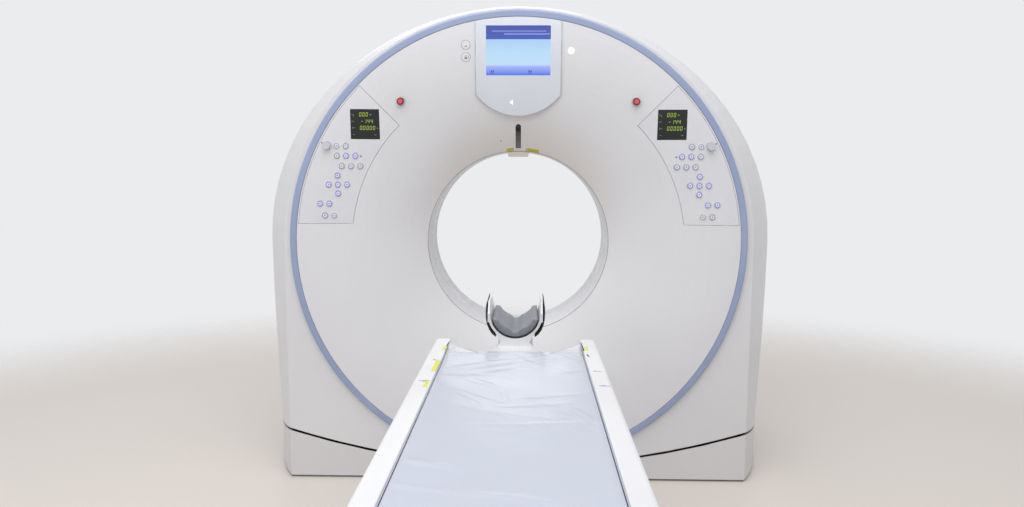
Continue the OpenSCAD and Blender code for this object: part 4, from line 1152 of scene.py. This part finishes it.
class SCANNER_OT_front_marks(bpy.types.Operator):
    """Finish the small fittings of the front: lamps, the laser slot and the tapes by the bore"""

    bl_idname = "scanner.front_marks"
    bl_label = "Front fittings"

    def execute(self, context):
        dress("indicator_lamps", with_finish="lamp")
        dress("laser_window", with_finish="black_window")
        self.lamp_signs()
        self.bore_edge()
        return {"FINISHED"}

    def lamp_signs(self):
        """Rims of the two lamps and their breath signs, a head and shoulders each."""
        across, lamps = -0.212, (0.811, 0.763)
        rims = bmesh.new()
        icons = bmesh.new()
        outlines = []
        for up in lamps:
            ring_on_front(rims, across, up, 0.0175, 0.0015, 0.0002)
            outlines.append(disc(across, up + 0.0065, 0.0032))
            outlines.append(bar(across - 0.0055, across + 0.0055, up - 0.009, up + 0.0015))
        # the lower sign has a waiting bar beside it
        outlines.append(bar(-0.2032, -0.2012, 0.757, 0.769))
        for outline in outlines:
            plate(icons, outline, front_point, 0.0009, -0.0004)
        new_piece("lamp_rims", rims, ["grey_outline"], "gantry")
        new_piece("lamp_icons", icons, ["label_grey"], "gantry", smooth=False)

    def bore_edge(self):
        """Two strips of tape over the bore, the bead round its edge and a small worn speck."""
        bore = sizes().bore_radius
        steps = 8
        tapes = bmesh.new()
        for x0, x1 in ((0.034, 0.088), (-0.050, -0.020)):
            across = [x0 + (x1 - x0) * i / steps for i in range(steps + 1)]
            low = [(x, math.sqrt((bore + 0.001) ** 2 - x * x)) for x in across]
            high = [(x, math.sqrt((bore + 0.014) ** 2 - x * x)) for x in across]
            plate(tapes, low + high[::-1], front_point, 0.0006, -0.0004)
        new_piece("bore_tapes", tapes, ["tape_olive"], "gantry", smooth=False)
        edge = bmesh.new()
        ring_on_front(edge, 0, 0, bore + 0.0006, 0.0011, 0.0, count=120)
        new_piece("bore_edge_bead", edge, ["edge_bead"], "gantry")
        speck = bmesh.new()
        plate(speck, disc(-0.074, 0.432, 0.0028, 7, 0.3), front_point, 0.0003, -0.0004)
        new_piece("bore_speck", speck, ["scuff"], "gantry", smooth=False)


class SCANNER_OT_works(bpy.types.Operator):
    """Finish the frames, the tilt drive and the rotor's parts inside the covers"""

    bl_idname = "scanner.works"
    bl_label = "Inner works"

    def execute(self, context):
        dress("base_frame", "couch_base_frame", with_finish="painted_frame")
        dress("left_upright", "right_upright", "tilt_frame", with_finish="cast_frame")
        dress("tilt_drive_unit", "table_drive_motor", with_finish="motor")
        dress("tilt_pinion", "tilt_sector_gear", "main_bearing_outer", with_finish="machined_steel")
        dress("main_bearing_inner", "drive_screw", "support_roller", with_finish="machined_steel")
        dress("drive_stator", with_finish="copper")
        dress("slip_ring", with_finish="slip_tracks")
        dress("brush_block", with_finish="brush_holder")
        dress("rotor_drum", "table_carriage", with_finish="couch_alu")
        dress("xray_tube_unit", "collimator", with_finish="tube_housing")
        dress("detector_array", with_finish="detector")
        dress("high_voltage_generator", with_finish="generator")
        dress("counterweight", with_finish="weight")
        dress("column_outer_tube", "column_middle_tube", "column_inner_tube", with_finish="column_alu")
        return {"FINISHED"}


class SCANNER_OT_fasteners(bpy.types.Operator):
    """Put the button-head screws on the rear cover, the funnel and the couch's end"""

    bl_idname = "scanner.fasteners"
    bl_label = "Fasteners"

    def execute(self, context):
        values = {
            "Cap Radius": 0.0065,
            "Cap Height": 0.0028,
            "Ring Radius": 0.0052,
            "Ring Width": 0.001,
            "Mark Radius": 0.0026,
            "Mark Sides": 6,
            "Cap Finish": finish("screw"),
            "Ring Finish": finish("screw"),
            "Mark Finish": finish("screw_recess"),
        }
        iso = sizes().iso_height
        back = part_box("rear_cover")[1].y
        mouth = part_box("rear_funnel")[1].y
        backwards, forwards = Vector((0, 1, 0)), Vector((0, -1, 0))
        places = [
            (-0.86, 0.12), (0.86, 0.12), (-0.94, -0.52), (0.94, -0.52),
            (-0.72, 0.5), (0.72, 0.5), (-0.4, 0.74), (0.4, 0.74), (0, 0.82),
        ]
        rear = [(Vector((x, back, iso + up)), backwards) for x, up in places]
        funnel_radius, screws = 0.635, 12
        circle = disc(0, iso, funnel_radius, screws, math.radians(15))
        rear += [(Vector((x, mouth, up)), backwards) for x, up in circle]
        studs("rear_screws", rear, values, "gantry")
        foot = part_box("couch_end_cover")[0]
        row = [Vector((x, foot.y, foot.z + 0.05)) for x in (-0.19, -0.06, 0.06, 0.19)]
        end = [(place, forwards) for place in row]
        studs("end_cover_screws", end, values, "couch_top")
        return {"FINISHED"}


class SCANNER_OT_couch(bpy.types.Operator):
    """Finish the couch's rails and covers, and lay the tapes and scuffs on the rails"""

    bl_idname = "scanner.couch"
    bl_label = "Couch"

    # strips on the rails' tops: x, y, width and length in millimetres
    yellow = [
        (-233, -990, 12, 52), (-234, -1212, 14, 124), (-237, -1404, 11, 58), (238, -984, 12, 52),
    ]
    # scuffs: x and y of their start, x and y of their end, and their width, in millimetres
    dark = [
        (-252, -1138, -238, -1146, 5.0), (-234, -1140, -231, -1143, 3.0),
        (-262, -1372, -232, -1366, 3.5), (-250, -1382, -240, -1374, 3.0),
        (235, -1058, 239, -1090, 6.5), (240, -1252, 262, -1262, 3.0),
        (238, -1262, 246, -1256, 2.4), (240, -1402, 270, -1408, 3.6), (246, -1408, 258, -1400, 3.0),
    ]

    def execute(self, context):
        dress("left_side_rail", "right_side_rail", "couch_end_cover", with_finish="couch_white")
        dress("couch_lower_cover", "couch_upper_cover", "couch_frame", with_finish="couch_white")
        dress("couch_middle_cover", with_finish="base_cover")
        dress("tabletop", with_finish="carbon")
        self.tapes()
        self.scuffs()
        return {"FINISHED"}

    def on_rail(self, x, y, lift):
        """A point over the rails' flat tops."""
        return Vector((x, y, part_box("right_side_rail")[1].z + lift))

    def tapes(self):
        """Yellow tapes, slightly askew, and painted shade where the rails meet the mattress."""
        tapes = bmesh.new()
        for x, y, wide, long in self.yellow:
            outline = [
                (x - wide / 2, y - long / 2), (x + wide / 2, y - long / 2 + 2),
                (x + wide / 2 + 1, y + long / 2), (x - wide / 2, y + long / 2 - 1),
            ]
            plate(tapes, [(a * MM, b * MM) for a, b in outline], self.on_rail, 0.0005, -0.0003)
        # painted shade: a dark strip on each rail's inner edge, standing in for the shade on the
        # rail's inner wall
        shade_outline = [(0.2262, -1.012), (0.2305, -1.008), (0.2285, -0.90), (0.2262, -0.90)]
        for side in (-1, 1):
            plate(tapes, [(side * x, y) for x, y in shade_outline], self.on_rail, 0.0004, -0.0003, 1)
        finishes = ["tape_yellow", "painted_shade"]
        new_piece("rail_tapes", tapes, finishes, "couch_top", smooth=False)

    def scuffs(self):
        """Dark rubs on the rails, each fuller on one side and thin at its ends."""
        scuffs = bmesh.new()
        full_side, flat_side = 0.6, 0.35
        steps = 5
        shares = [i / steps for i in range(steps + 1)]
        for x0, y0, x1, y1, wide in self.dark:
            start, end = Vector((x0, y0, 0)) * MM, Vector((x1, y1, 0)) * MM
            side = (end - start).cross(Vector((0, 0, 1))).normalized() * wide * MM
            outline = []
            for k in shares:
                swell = math.sin(math.pi * (0.15 + 0.7 * k)) * full_side
                outline.append(start.lerp(end, k) + side * swell)
            outline += [start.lerp(end, k) - side * flat_side for k in reversed(shares)]
            plate(scuffs, [(p.x, p.y) for p in outline], self.on_rail, 0.0003, -0.0003)
        new_piece("rail_scuffs", scuffs, ["scuff"], "couch_top", smooth=False)


def fold_height(x, y):
    """Height of the cover's folds at a place on the mattress, as a share of the full height."""
    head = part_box("mattress")[1].y - y
    total = 0.0
    # folds that slant one way near the head and the other way near the foot:
    # turn in degrees, wave length, strength, and where they start and end from the head
    for turn, wave, strength, near, far in (
        (-24, 0.052, 1.0, 0.0, 0.42),
        (-6, 0.075, 0.7, 0.25, 0.8),
        (21, 0.11, 0.85, 0.6, 1.6),
        (30, 0.16, 0.6, 1.2, 2.4),
    ):
        across = math.radians(turn)
        along = x * math.sin(across) + y * math.cos(across)
        side = x * math.cos(across) - y * math.sin(across)
        warp = noise.noise(Vector((side * 3.0, along * 2.0, turn))) * 0.05
        patch = noise.noise(Vector((side * 4.5, along * 9.0, turn + 7)))
        ridge = 1 - abs(math.sin(math.pi * (along + warp) / wave))
        inside = min(max((head - near) / 0.12 + 0.5, 0), 1) * min(max((far - head) / 0.2, 0), 1)
        total += strength * inside * max(patch, 0) * ridge**3 * 2.0
    total += 0.35 * noise.noise(Vector((x * 9, y * 7, 3)))
    return total


def soften(thing, limit, frames, voxel):
    """Puffs a closed mesh with Blender's cloth, and limits how far each point may move."""
    scene = bpy.context.scene
    remesh = thing.modifiers.new("remesh", "REMESH")
    remesh.mode, remesh.voxel_size = "VOXEL", voxel
    bpy.context.view_layer.update()
    shown = thing.evaluated_get(bpy.context.evaluated_depsgraph_get())
    mesh = bpy.data.meshes.new_from_object(shown)
    thing.modifiers.remove(remesh)
    mesh.shade_smooth()
    thing.data = mesh
    start = [v.co.copy() for v in mesh.vertices]
    cloth = thing.modifiers.new("cloth", "CLOTH")
    cloth.settings.use_pressure = True
    cloth.settings.uniform_pressure_force = 2.0
    cloth.settings.quality = 4
    cloth.settings.effector_weights.gravity = 0
    cloth.point_cache.frame_start, cloth.point_cache.frame_end = 1, frames
    for step in range(1, frames + 1):
        scene.frame_set(step)
    shown = thing.evaluated_get(bpy.context.evaluated_depsgraph_get())
    puffed = [v.co.copy() for v in shown.data.vertices]
    thing.modifiers.remove(cloth)
    scene.frame_set(1)
    for vertex, before, after in zip(mesh.vertices, start, puffed):
        move = after - before
        if move.length > limit:
            move *= limit / move.length
        vertex.co = before + move


class SCANNER_OT_mattress(bpy.types.Operator):
    """Make the thin mattress with its coated cover, puffed, folded and seamed along its edge"""

    bl_idname = "scanner.mattress"
    bl_label = "Mattress"

    def execute(self, context):
        low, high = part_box("mattress")
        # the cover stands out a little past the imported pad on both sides
        half = high.x + 0.0018
        pad = new_piece("mattress_pad", self.slab(low, high, half), ["mattress"], "table")
        soften(pad, limit=0.0022, frames=16, voxel=0.0068)
        self.fold(pad, low, high, half)
        smooth = pad.modifiers.new("smooth", "SUBSURF")
        smooth.levels = smooth.render_levels = 1
        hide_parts("mattress")
        self.seam(low, high, half)
        return {"FINISHED"}

    def slab(self, low, high, half):
        """The mattress before it is puffed: a slab with rounded upper edges and drawn-in ends."""
        edge = 0.004
        foot, shoulder = low.z + 0.0005, high.z - edge - 0.001
        profile = rounded_corner(half - edge, shoulder, edge, 0, 4)
        profile += rounded_corner(edge - half, shoulder, edge, 90, 4)
        profile += [(-half, foot), (half, foot)]
        sections = []
        # y, and the shares of the full width and height there
        for y, width, height in (
            (low.y + 0.001, 0.985, 0.8),
            (low.y + 0.006, 1, 1),
            (high.y - 0.006, 1, 1),
            (high.y - 0.001, 0.985, 0.8),
        ):
            sections.append([(x * width, y, foot + (z - foot) * height) for x, z in profile])
        build = bmesh.new()
        loft(build, sections)
        return build

    def fold(self, pad, low, high, half):
        """Lifts the cover's folds out of the top, and less towards the mattress's edges."""
        ceiling, floor = high.z + 0.0055, low.z + 0.0002
        margin, head_margin = 0.03, 0.02
        top_part, blend = 0.55, 0.3
        for vertex in pad.data.vertices:
            co = vertex.co
            rise = (co.z - low.z) / (high.z - low.z)
            if rise > top_part:
                rim = min(
                    1.0,
                    (half - abs(co.x)) / margin,
                    (co.y - low.y) / margin,
                    (high.y - co.y) / head_margin,
                )
                share = max(0.0, rim) * min(1.0, (rise - top_part) / blend)
                co.z = min(co.z + sizes().fold_height * fold_height(co.x, co.y) * share, ceiling)
            # it rests flat on the tabletop, and stays between the rails
            co.z = max(co.z, floor)
            co.x = max(-half, min(half, co.x))

    def seam(self, low, high, half):
        """Welded seam of the cover, a bead round the mattress's upper edge."""
        corner, inset = 0.012, 0.002
        right, left = half - corner, corner - half
        head, foot = high.y - inset - corner, low.y + inset + corner
        loop = []
        for x, y, start in ((right, head, 0), (left, head, 90), (left, foot, 180), (right, foot, 270)):
            loop += rounded_corner(x, y, corner, start, 5)
        seam = bmesh.new()
        level = high.z - 0.006
        tube_along(seam, [Vector((x, y, level)) for x, y in loop], 0.0012, 6, closed=True)
        new_piece("mattress_seam", seam, ["mattress"], "table")


class SCANNER_OT_headrest(bpy.types.Operator):
    """Make the foam head pad, and finish the cradle with its dark side bands"""

    bl_idname = "scanner.headrest"
    bl_label = "Headrest"

    def execute(self, context):
        dress("headrest_cradle", with_finish="couch_white")
        dress("headrest_liner", with_finish="black_liner")
        low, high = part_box("headrest_pad")
        # the cup's axis, the pad's outer radius, and the radii of its hollow and of the notch below
        centre = 0.832
        outer, inner, notch = 0.0822, 0.070, 0.022
        hollow_half, hollow_rise, notch_drop = 0.0625, 0.012, 0.046
        inset = 0.0006
        top = high.z - inset
        steps = 26
        # outer arc from its right tip to its left tip, then the hollow with its round notch
        limit = math.asin((top - centre) / outer)
        outline = [
            (outer * math.cos(a), centre + outer * math.sin(a))
            for a in (limit - (math.pi + 2 * limit) * i / steps for i in range(steps + 1))
        ]
        hollow = []
        for i in range(steps + 1):
            x = hollow_half * (2 * i / steps - 1)
            z = centre + hollow_rise - math.sqrt(inner * inner - x * x)
            if abs(x) < notch:
                z = min(z, centre - notch_drop - math.sqrt(notch * notch - x * x))
            hollow.append((x, min(z, top)))
        section = outline + hollow
        build = bmesh.new()
        # both ends are rounded: distance from the end, and the section's size there
        rounding = [(inset, 0.965), (inset + 0.004, 0.995), (inset + 0.012, 1)]
        ends = [(low.y + d, k) for d, k in rounding] + [(high.y - d, k) for d, k in rounding[::-1]]
        middle = (low.z + high.z) / 2 - 0.01
        loft(build, [[(x * k, y, middle + (z - middle) * k) for x, z in section] for y, k in ends])
        pad = new_piece("head_pad", build, ["foam"], "table")
        soften(pad, limit=0.0010, frames=14, voxel=0.003)
        for vertex in pad.data.vertices:
            co = vertex.co
            reach = math.hypot(co.x, co.z - centre)
            if reach > outer:
                co.x *= outer / reach
                co.z = centre + (co.z - centre) * outer / reach
        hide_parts("headrest_pad")
        self.bands()
        return {"FINISHED"}

    def bands(self):
        """Dark padded bands outside both fins, which curve in under the cup."""
        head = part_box("headrest_cradle")[1].y
        ends = (head - 0.245, head - 0.241, head - 0.034, head - 0.03)
        # the fin's outer face, from its tip down to under the cup
        line = [
            (0.0995, 0.862), (0.1005, 0.846), (0.1008, 0.826), (0.1, 0.806),
            (0.0965, 0.788), (0.0895, 0.770), (0.0795, 0.755), (0.068, 0.744),
        ]
        thick = 0.0042
        last = len(line) - 1
        outer = []
        for i, (x, z) in enumerate(line):
            ahead, behind = line[min(i + 1, last)], line[max(i - 1, 0)]
            way = Vector((ahead[0] - behind[0], ahead[1] - behind[1])).normalized()
            grow = thick * (0.6 if i in (0, last) else 1.0)
            outer.append((x - way.y * grow, z + way.x * grow))
        section = line + outer[::-1]
        for side, name in ((-1, "left"), (1, "right")):
            build = bmesh.new()
            loft(build, [[(side * x, y, z) for x, z in section] for y in ends])
            new_piece(f"{name}_fin_band", build, ["fin_band"], "table", bevel=0.0008)


class SCANNER_OT_film(bpy.types.Operator):
    """Lay the clear vinyl flaps over the mattress's two head corners"""

    bl_idname = "scanner.film"
    bl_label = "Film flaps"

    def execute(self, context):
        pad = BVHTree.FromObject(
            bpy.data.objects["mattress_pad"], context.evaluated_depsgraph_get()
        )
        rows, columns = 9, 7
        for side, name in ((-1, "left"), (1, "right")):
            build = bmesh.new()
            grid = []
            for i in range(rows):
                shares = [(j / (columns - 1), i / (rows - 1)) for j in range(columns)]
                grid.append([build.verts.new(self.place(pad, side, *each)) for each in shares])
            for near, far in zip(grid, grid[1:]):
                for j in range(columns - 1):
                    build.faces.new((near[j], near[j + 1], far[j + 1], far[j]))
            flap = new_piece(f"{name}_film_flap", build, ["clear_film"], "table")
            wall = flap.modifiers.new("wall", "SOLIDIFY")
            wall.thickness, wall.offset = 0.0004, 0
        return {"FINISHED"}

    def place(self, pad, side, across, along):
        """A point of a flap, by its shares inwards from the rail and towards the head end."""
        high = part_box("mattress")[1]
        outer_x, far_width, near_width = 0.2195, 0.012, 0.117
        overlap, length = 0.05, 0.13
        width = far_width + (near_width - far_width) * (1 - along)
        x = outer_x - width * across
        y = high.y - overlap + length * along
        # on the pad's own surface, and past its end at that height
        inset, above = 0.012, 0.1
        over = Vector((side * min(x, high.x - inset), min(y, high.y - inset), high.z + above))
        rest = pad.ray_cast(over, Vector((0, 0, -1)))[0]
        # its near edge clings to the pad; past its bend the outer side rises and the inner one droops
        sunk, gap, bend, rise, droop = 0.0005, 0.0012, 0.35, 0.016, 0.004
        past = max(0.0, along - bend)
        lift = gap * min(1.0, 4 * along) - sunk
        return (side * x, y, rest.z + lift - droop * past * across + rise * past * (1 - across))


class SCANNER_OT_stage(bpy.types.Operator):
    """Put the floor, the lamps, the pale surroundings and the camera in place"""

    bl_idname = "scanner.stage"
    bl_label = "Stage"

    def execute(self, context):
        scene = context.scene
        scene.view_settings.view_transform = "Standard"
        self.floor()
        self.surroundings(scene)
        for name, place, aim, size, power in (
            ("ceiling_lamp", (-0.1, -2.4, 4.4), (0, -0.6, 0.9), 4.2, 118),
            ("left_lamp", (-4.2, -3.6, 2.6), (0, -0.3, 1.0), 2.6, 24),
            ("rear_lamp", (-0.8, 4.2, 3.4), (0, 0.3, 1.0), 3.0, 26),
        ):
            lamp = bpy.data.lights.new(name, "AREA")
            lamp.shape, lamp.size, lamp.energy = "SQUARE", size, power
            thing = bpy.data.objects.new(name, lamp)
            thing.location = place
            thing.rotation_euler = (Vector(aim) - Vector(place)).to_track_quat("-Z", "Y").to_euler()
            scene.collection.objects.link(thing)
        self.camera(scene)
        return {"FINISHED"}

    def camera(self, scene):
        """The camera that was fitted to the photograph: its eye, its angles and its lens."""
        eye = (0.040, -3.378, 1.330)
        left_turn, downward, roll = math.radians(1.18), math.radians(6.48), math.radians(0.2)
        focal_pixels, width_pixels = 735.8, 1024
        camera = bpy.data.cameras.new("camera")
        camera.sensor_width = 36.0
        camera.lens = camera.sensor_width * focal_pixels / width_pixels
        thing = bpy.data.objects.new("camera", camera)
        thing.location = eye
        level = Matrix.Rotation(math.pi / 2 - downward, 4, "X")
        turn = Matrix.Rotation(left_turn, 4, "Z") @ level @ Matrix.Rotation(roll, 4, "Z")
        thing.rotation_euler = turn.to_euler()
        scene.collection.objects.link(thing)
        scene.camera = thing

    def floor(self):
        """Pale vinyl floor round the scanner."""
        material, tree, shader, place = new_finish("pale_vinyl_floor", "#dfd7cf", 0.34)
        uneven_gloss(tree, shader, place, 1.5, 0.3, 0.38, 1.0)
        # the floor ends softly, so that no horizon cuts through the picture
        middle, full_radius, end_radius = (0, -1.2, 0), 3.2, 5.4
        off = add(tree, "ShaderNodeVectorMath", {0: place, 1: middle}, operation="SUBTRACT")
        reach = add(tree, "ShaderNodeVectorMath", {0: off.outputs[0]}, operation="LENGTH")
        fade = add(
            tree,
            "ShaderNodeMapRange",
            {"Value": reach.outputs["Value"], "From Min": full_radius, "From Max": end_radius},
            interpolation_type="SMOOTHSTEP",
        )
        clear = add(tree, "ShaderNodeBsdfTransparent")
        mix = add(
            tree,
            "ShaderNodeMixShader",
            {0: fade.outputs[0], 1: shader.outputs[0], 2: clear.outputs[0]},
        )
        end = next(n for n in tree.nodes if n.bl_idname == "ShaderNodeOutputMaterial")
        tree.links.new(mix.outputs[0], end.inputs["Surface"])
        mesh = bpy.data.meshes.new("floor")
        half = 30
        corners = [(-half, -half, 0), (half, -half, 0), (half, half, 0), (-half, half, 0)]
        mesh.from_pydata(corners, [], [(0, 1, 2, 3)])
        mesh.materials.append(material)
        thing = bpy.data.objects.new("floor", mesh)
        bpy.context.scene.collection.objects.link(thing)

    def surroundings(self, scene):
        """Even grey-white light, and a nearly white room for the camera, clear film and gloss."""
        world = bpy.data.worlds.new("pale_room")
        world.use_nodes = True
        tree = world.node_tree
        tree.nodes.clear()
        light = add(tree, "ShaderNodeBackground", {"Color": linear("#f4f5f8"), "Strength": 0.62})
        room = add(tree, "ShaderNodeBackground", {"Color": linear("#ebecee"), "Strength": 1.0})
        path = add(tree, "ShaderNodeLightPath").outputs
        through = add(
            tree,
            "ShaderNodeMath",
            {0: path["Is Camera Ray"], 1: path["Is Transmission Ray"]},
            operation="MAXIMUM",
        )
        seen = add(
            tree,
            "ShaderNodeMath",
            {0: through.outputs[0], 1: path["Is Glossy Ray"]},
            operation="MAXIMUM",
        )
        mix = add(
            tree,
            "ShaderNodeMixShader",
            {0: seen.outputs[0], 1: light.outputs[0], 2: room.outputs[0]},
        )
        add(tree, "ShaderNodeOutputWorld", {"Surface": mix.outputs[0]})
        scene.world = world


STEPS = (
    SCANNER_OT_stage,
    SCANNER_OT_covers,
    SCANNER_OT_display,
    SCANNER_OT_panels,
    SCANNER_OT_front_marks,
    SCANNER_OT_works,
    SCANNER_OT_fasteners,
    SCANNER_OT_couch,
    SCANNER_OT_mattress,
    SCANNER_OT_headrest,
    SCANNER_OT_film,
)


class SCANNER_PT_panel(bpy.types.Panel):
    """Lists the scanner's sizes, colours and pieces in the sidebar"""

    bl_idname = "SCANNER_PT_panel"
    bl_label = "CT Scanner"
    bl_space_type = "VIEW_3D"
    bl_region_type = "UI"
    bl_category = "CT Scanner"

    def draw(self, context):
        for group in (context.scene.scanner_sizes, context.scene.scanner_colours):
            box = self.layout.box()
            for name in group.__annotations__:
                box.prop(group, name)
        for step in STEPS:
            self.layout.operator(step.bl_idname)


CLASSES = (ScannerSizes, ScannerColours, *STEPS, SCANNER_PT_panel)


def register():
    for each in CLASSES:
        bpy.utils.register_class(each)
    bpy.types.Scene.scanner_sizes = bpy.props.PointerProperty(type=ScannerSizes)
    bpy.types.Scene.scanner_colours = bpy.props.PointerProperty(type=ScannerColours)


def unregister():
    del bpy.types.Scene.scanner_colours
    del bpy.types.Scene.scanner_sizes
    for each in reversed(CLASSES):
        bpy.utils.unregister_class(each)


def main():
    register()
    for step in STEPS:
        group, name = step.bl_idname.split(".")
        getattr(getattr(bpy.ops, group), name)()


if __name__ == "__main__":
    main()
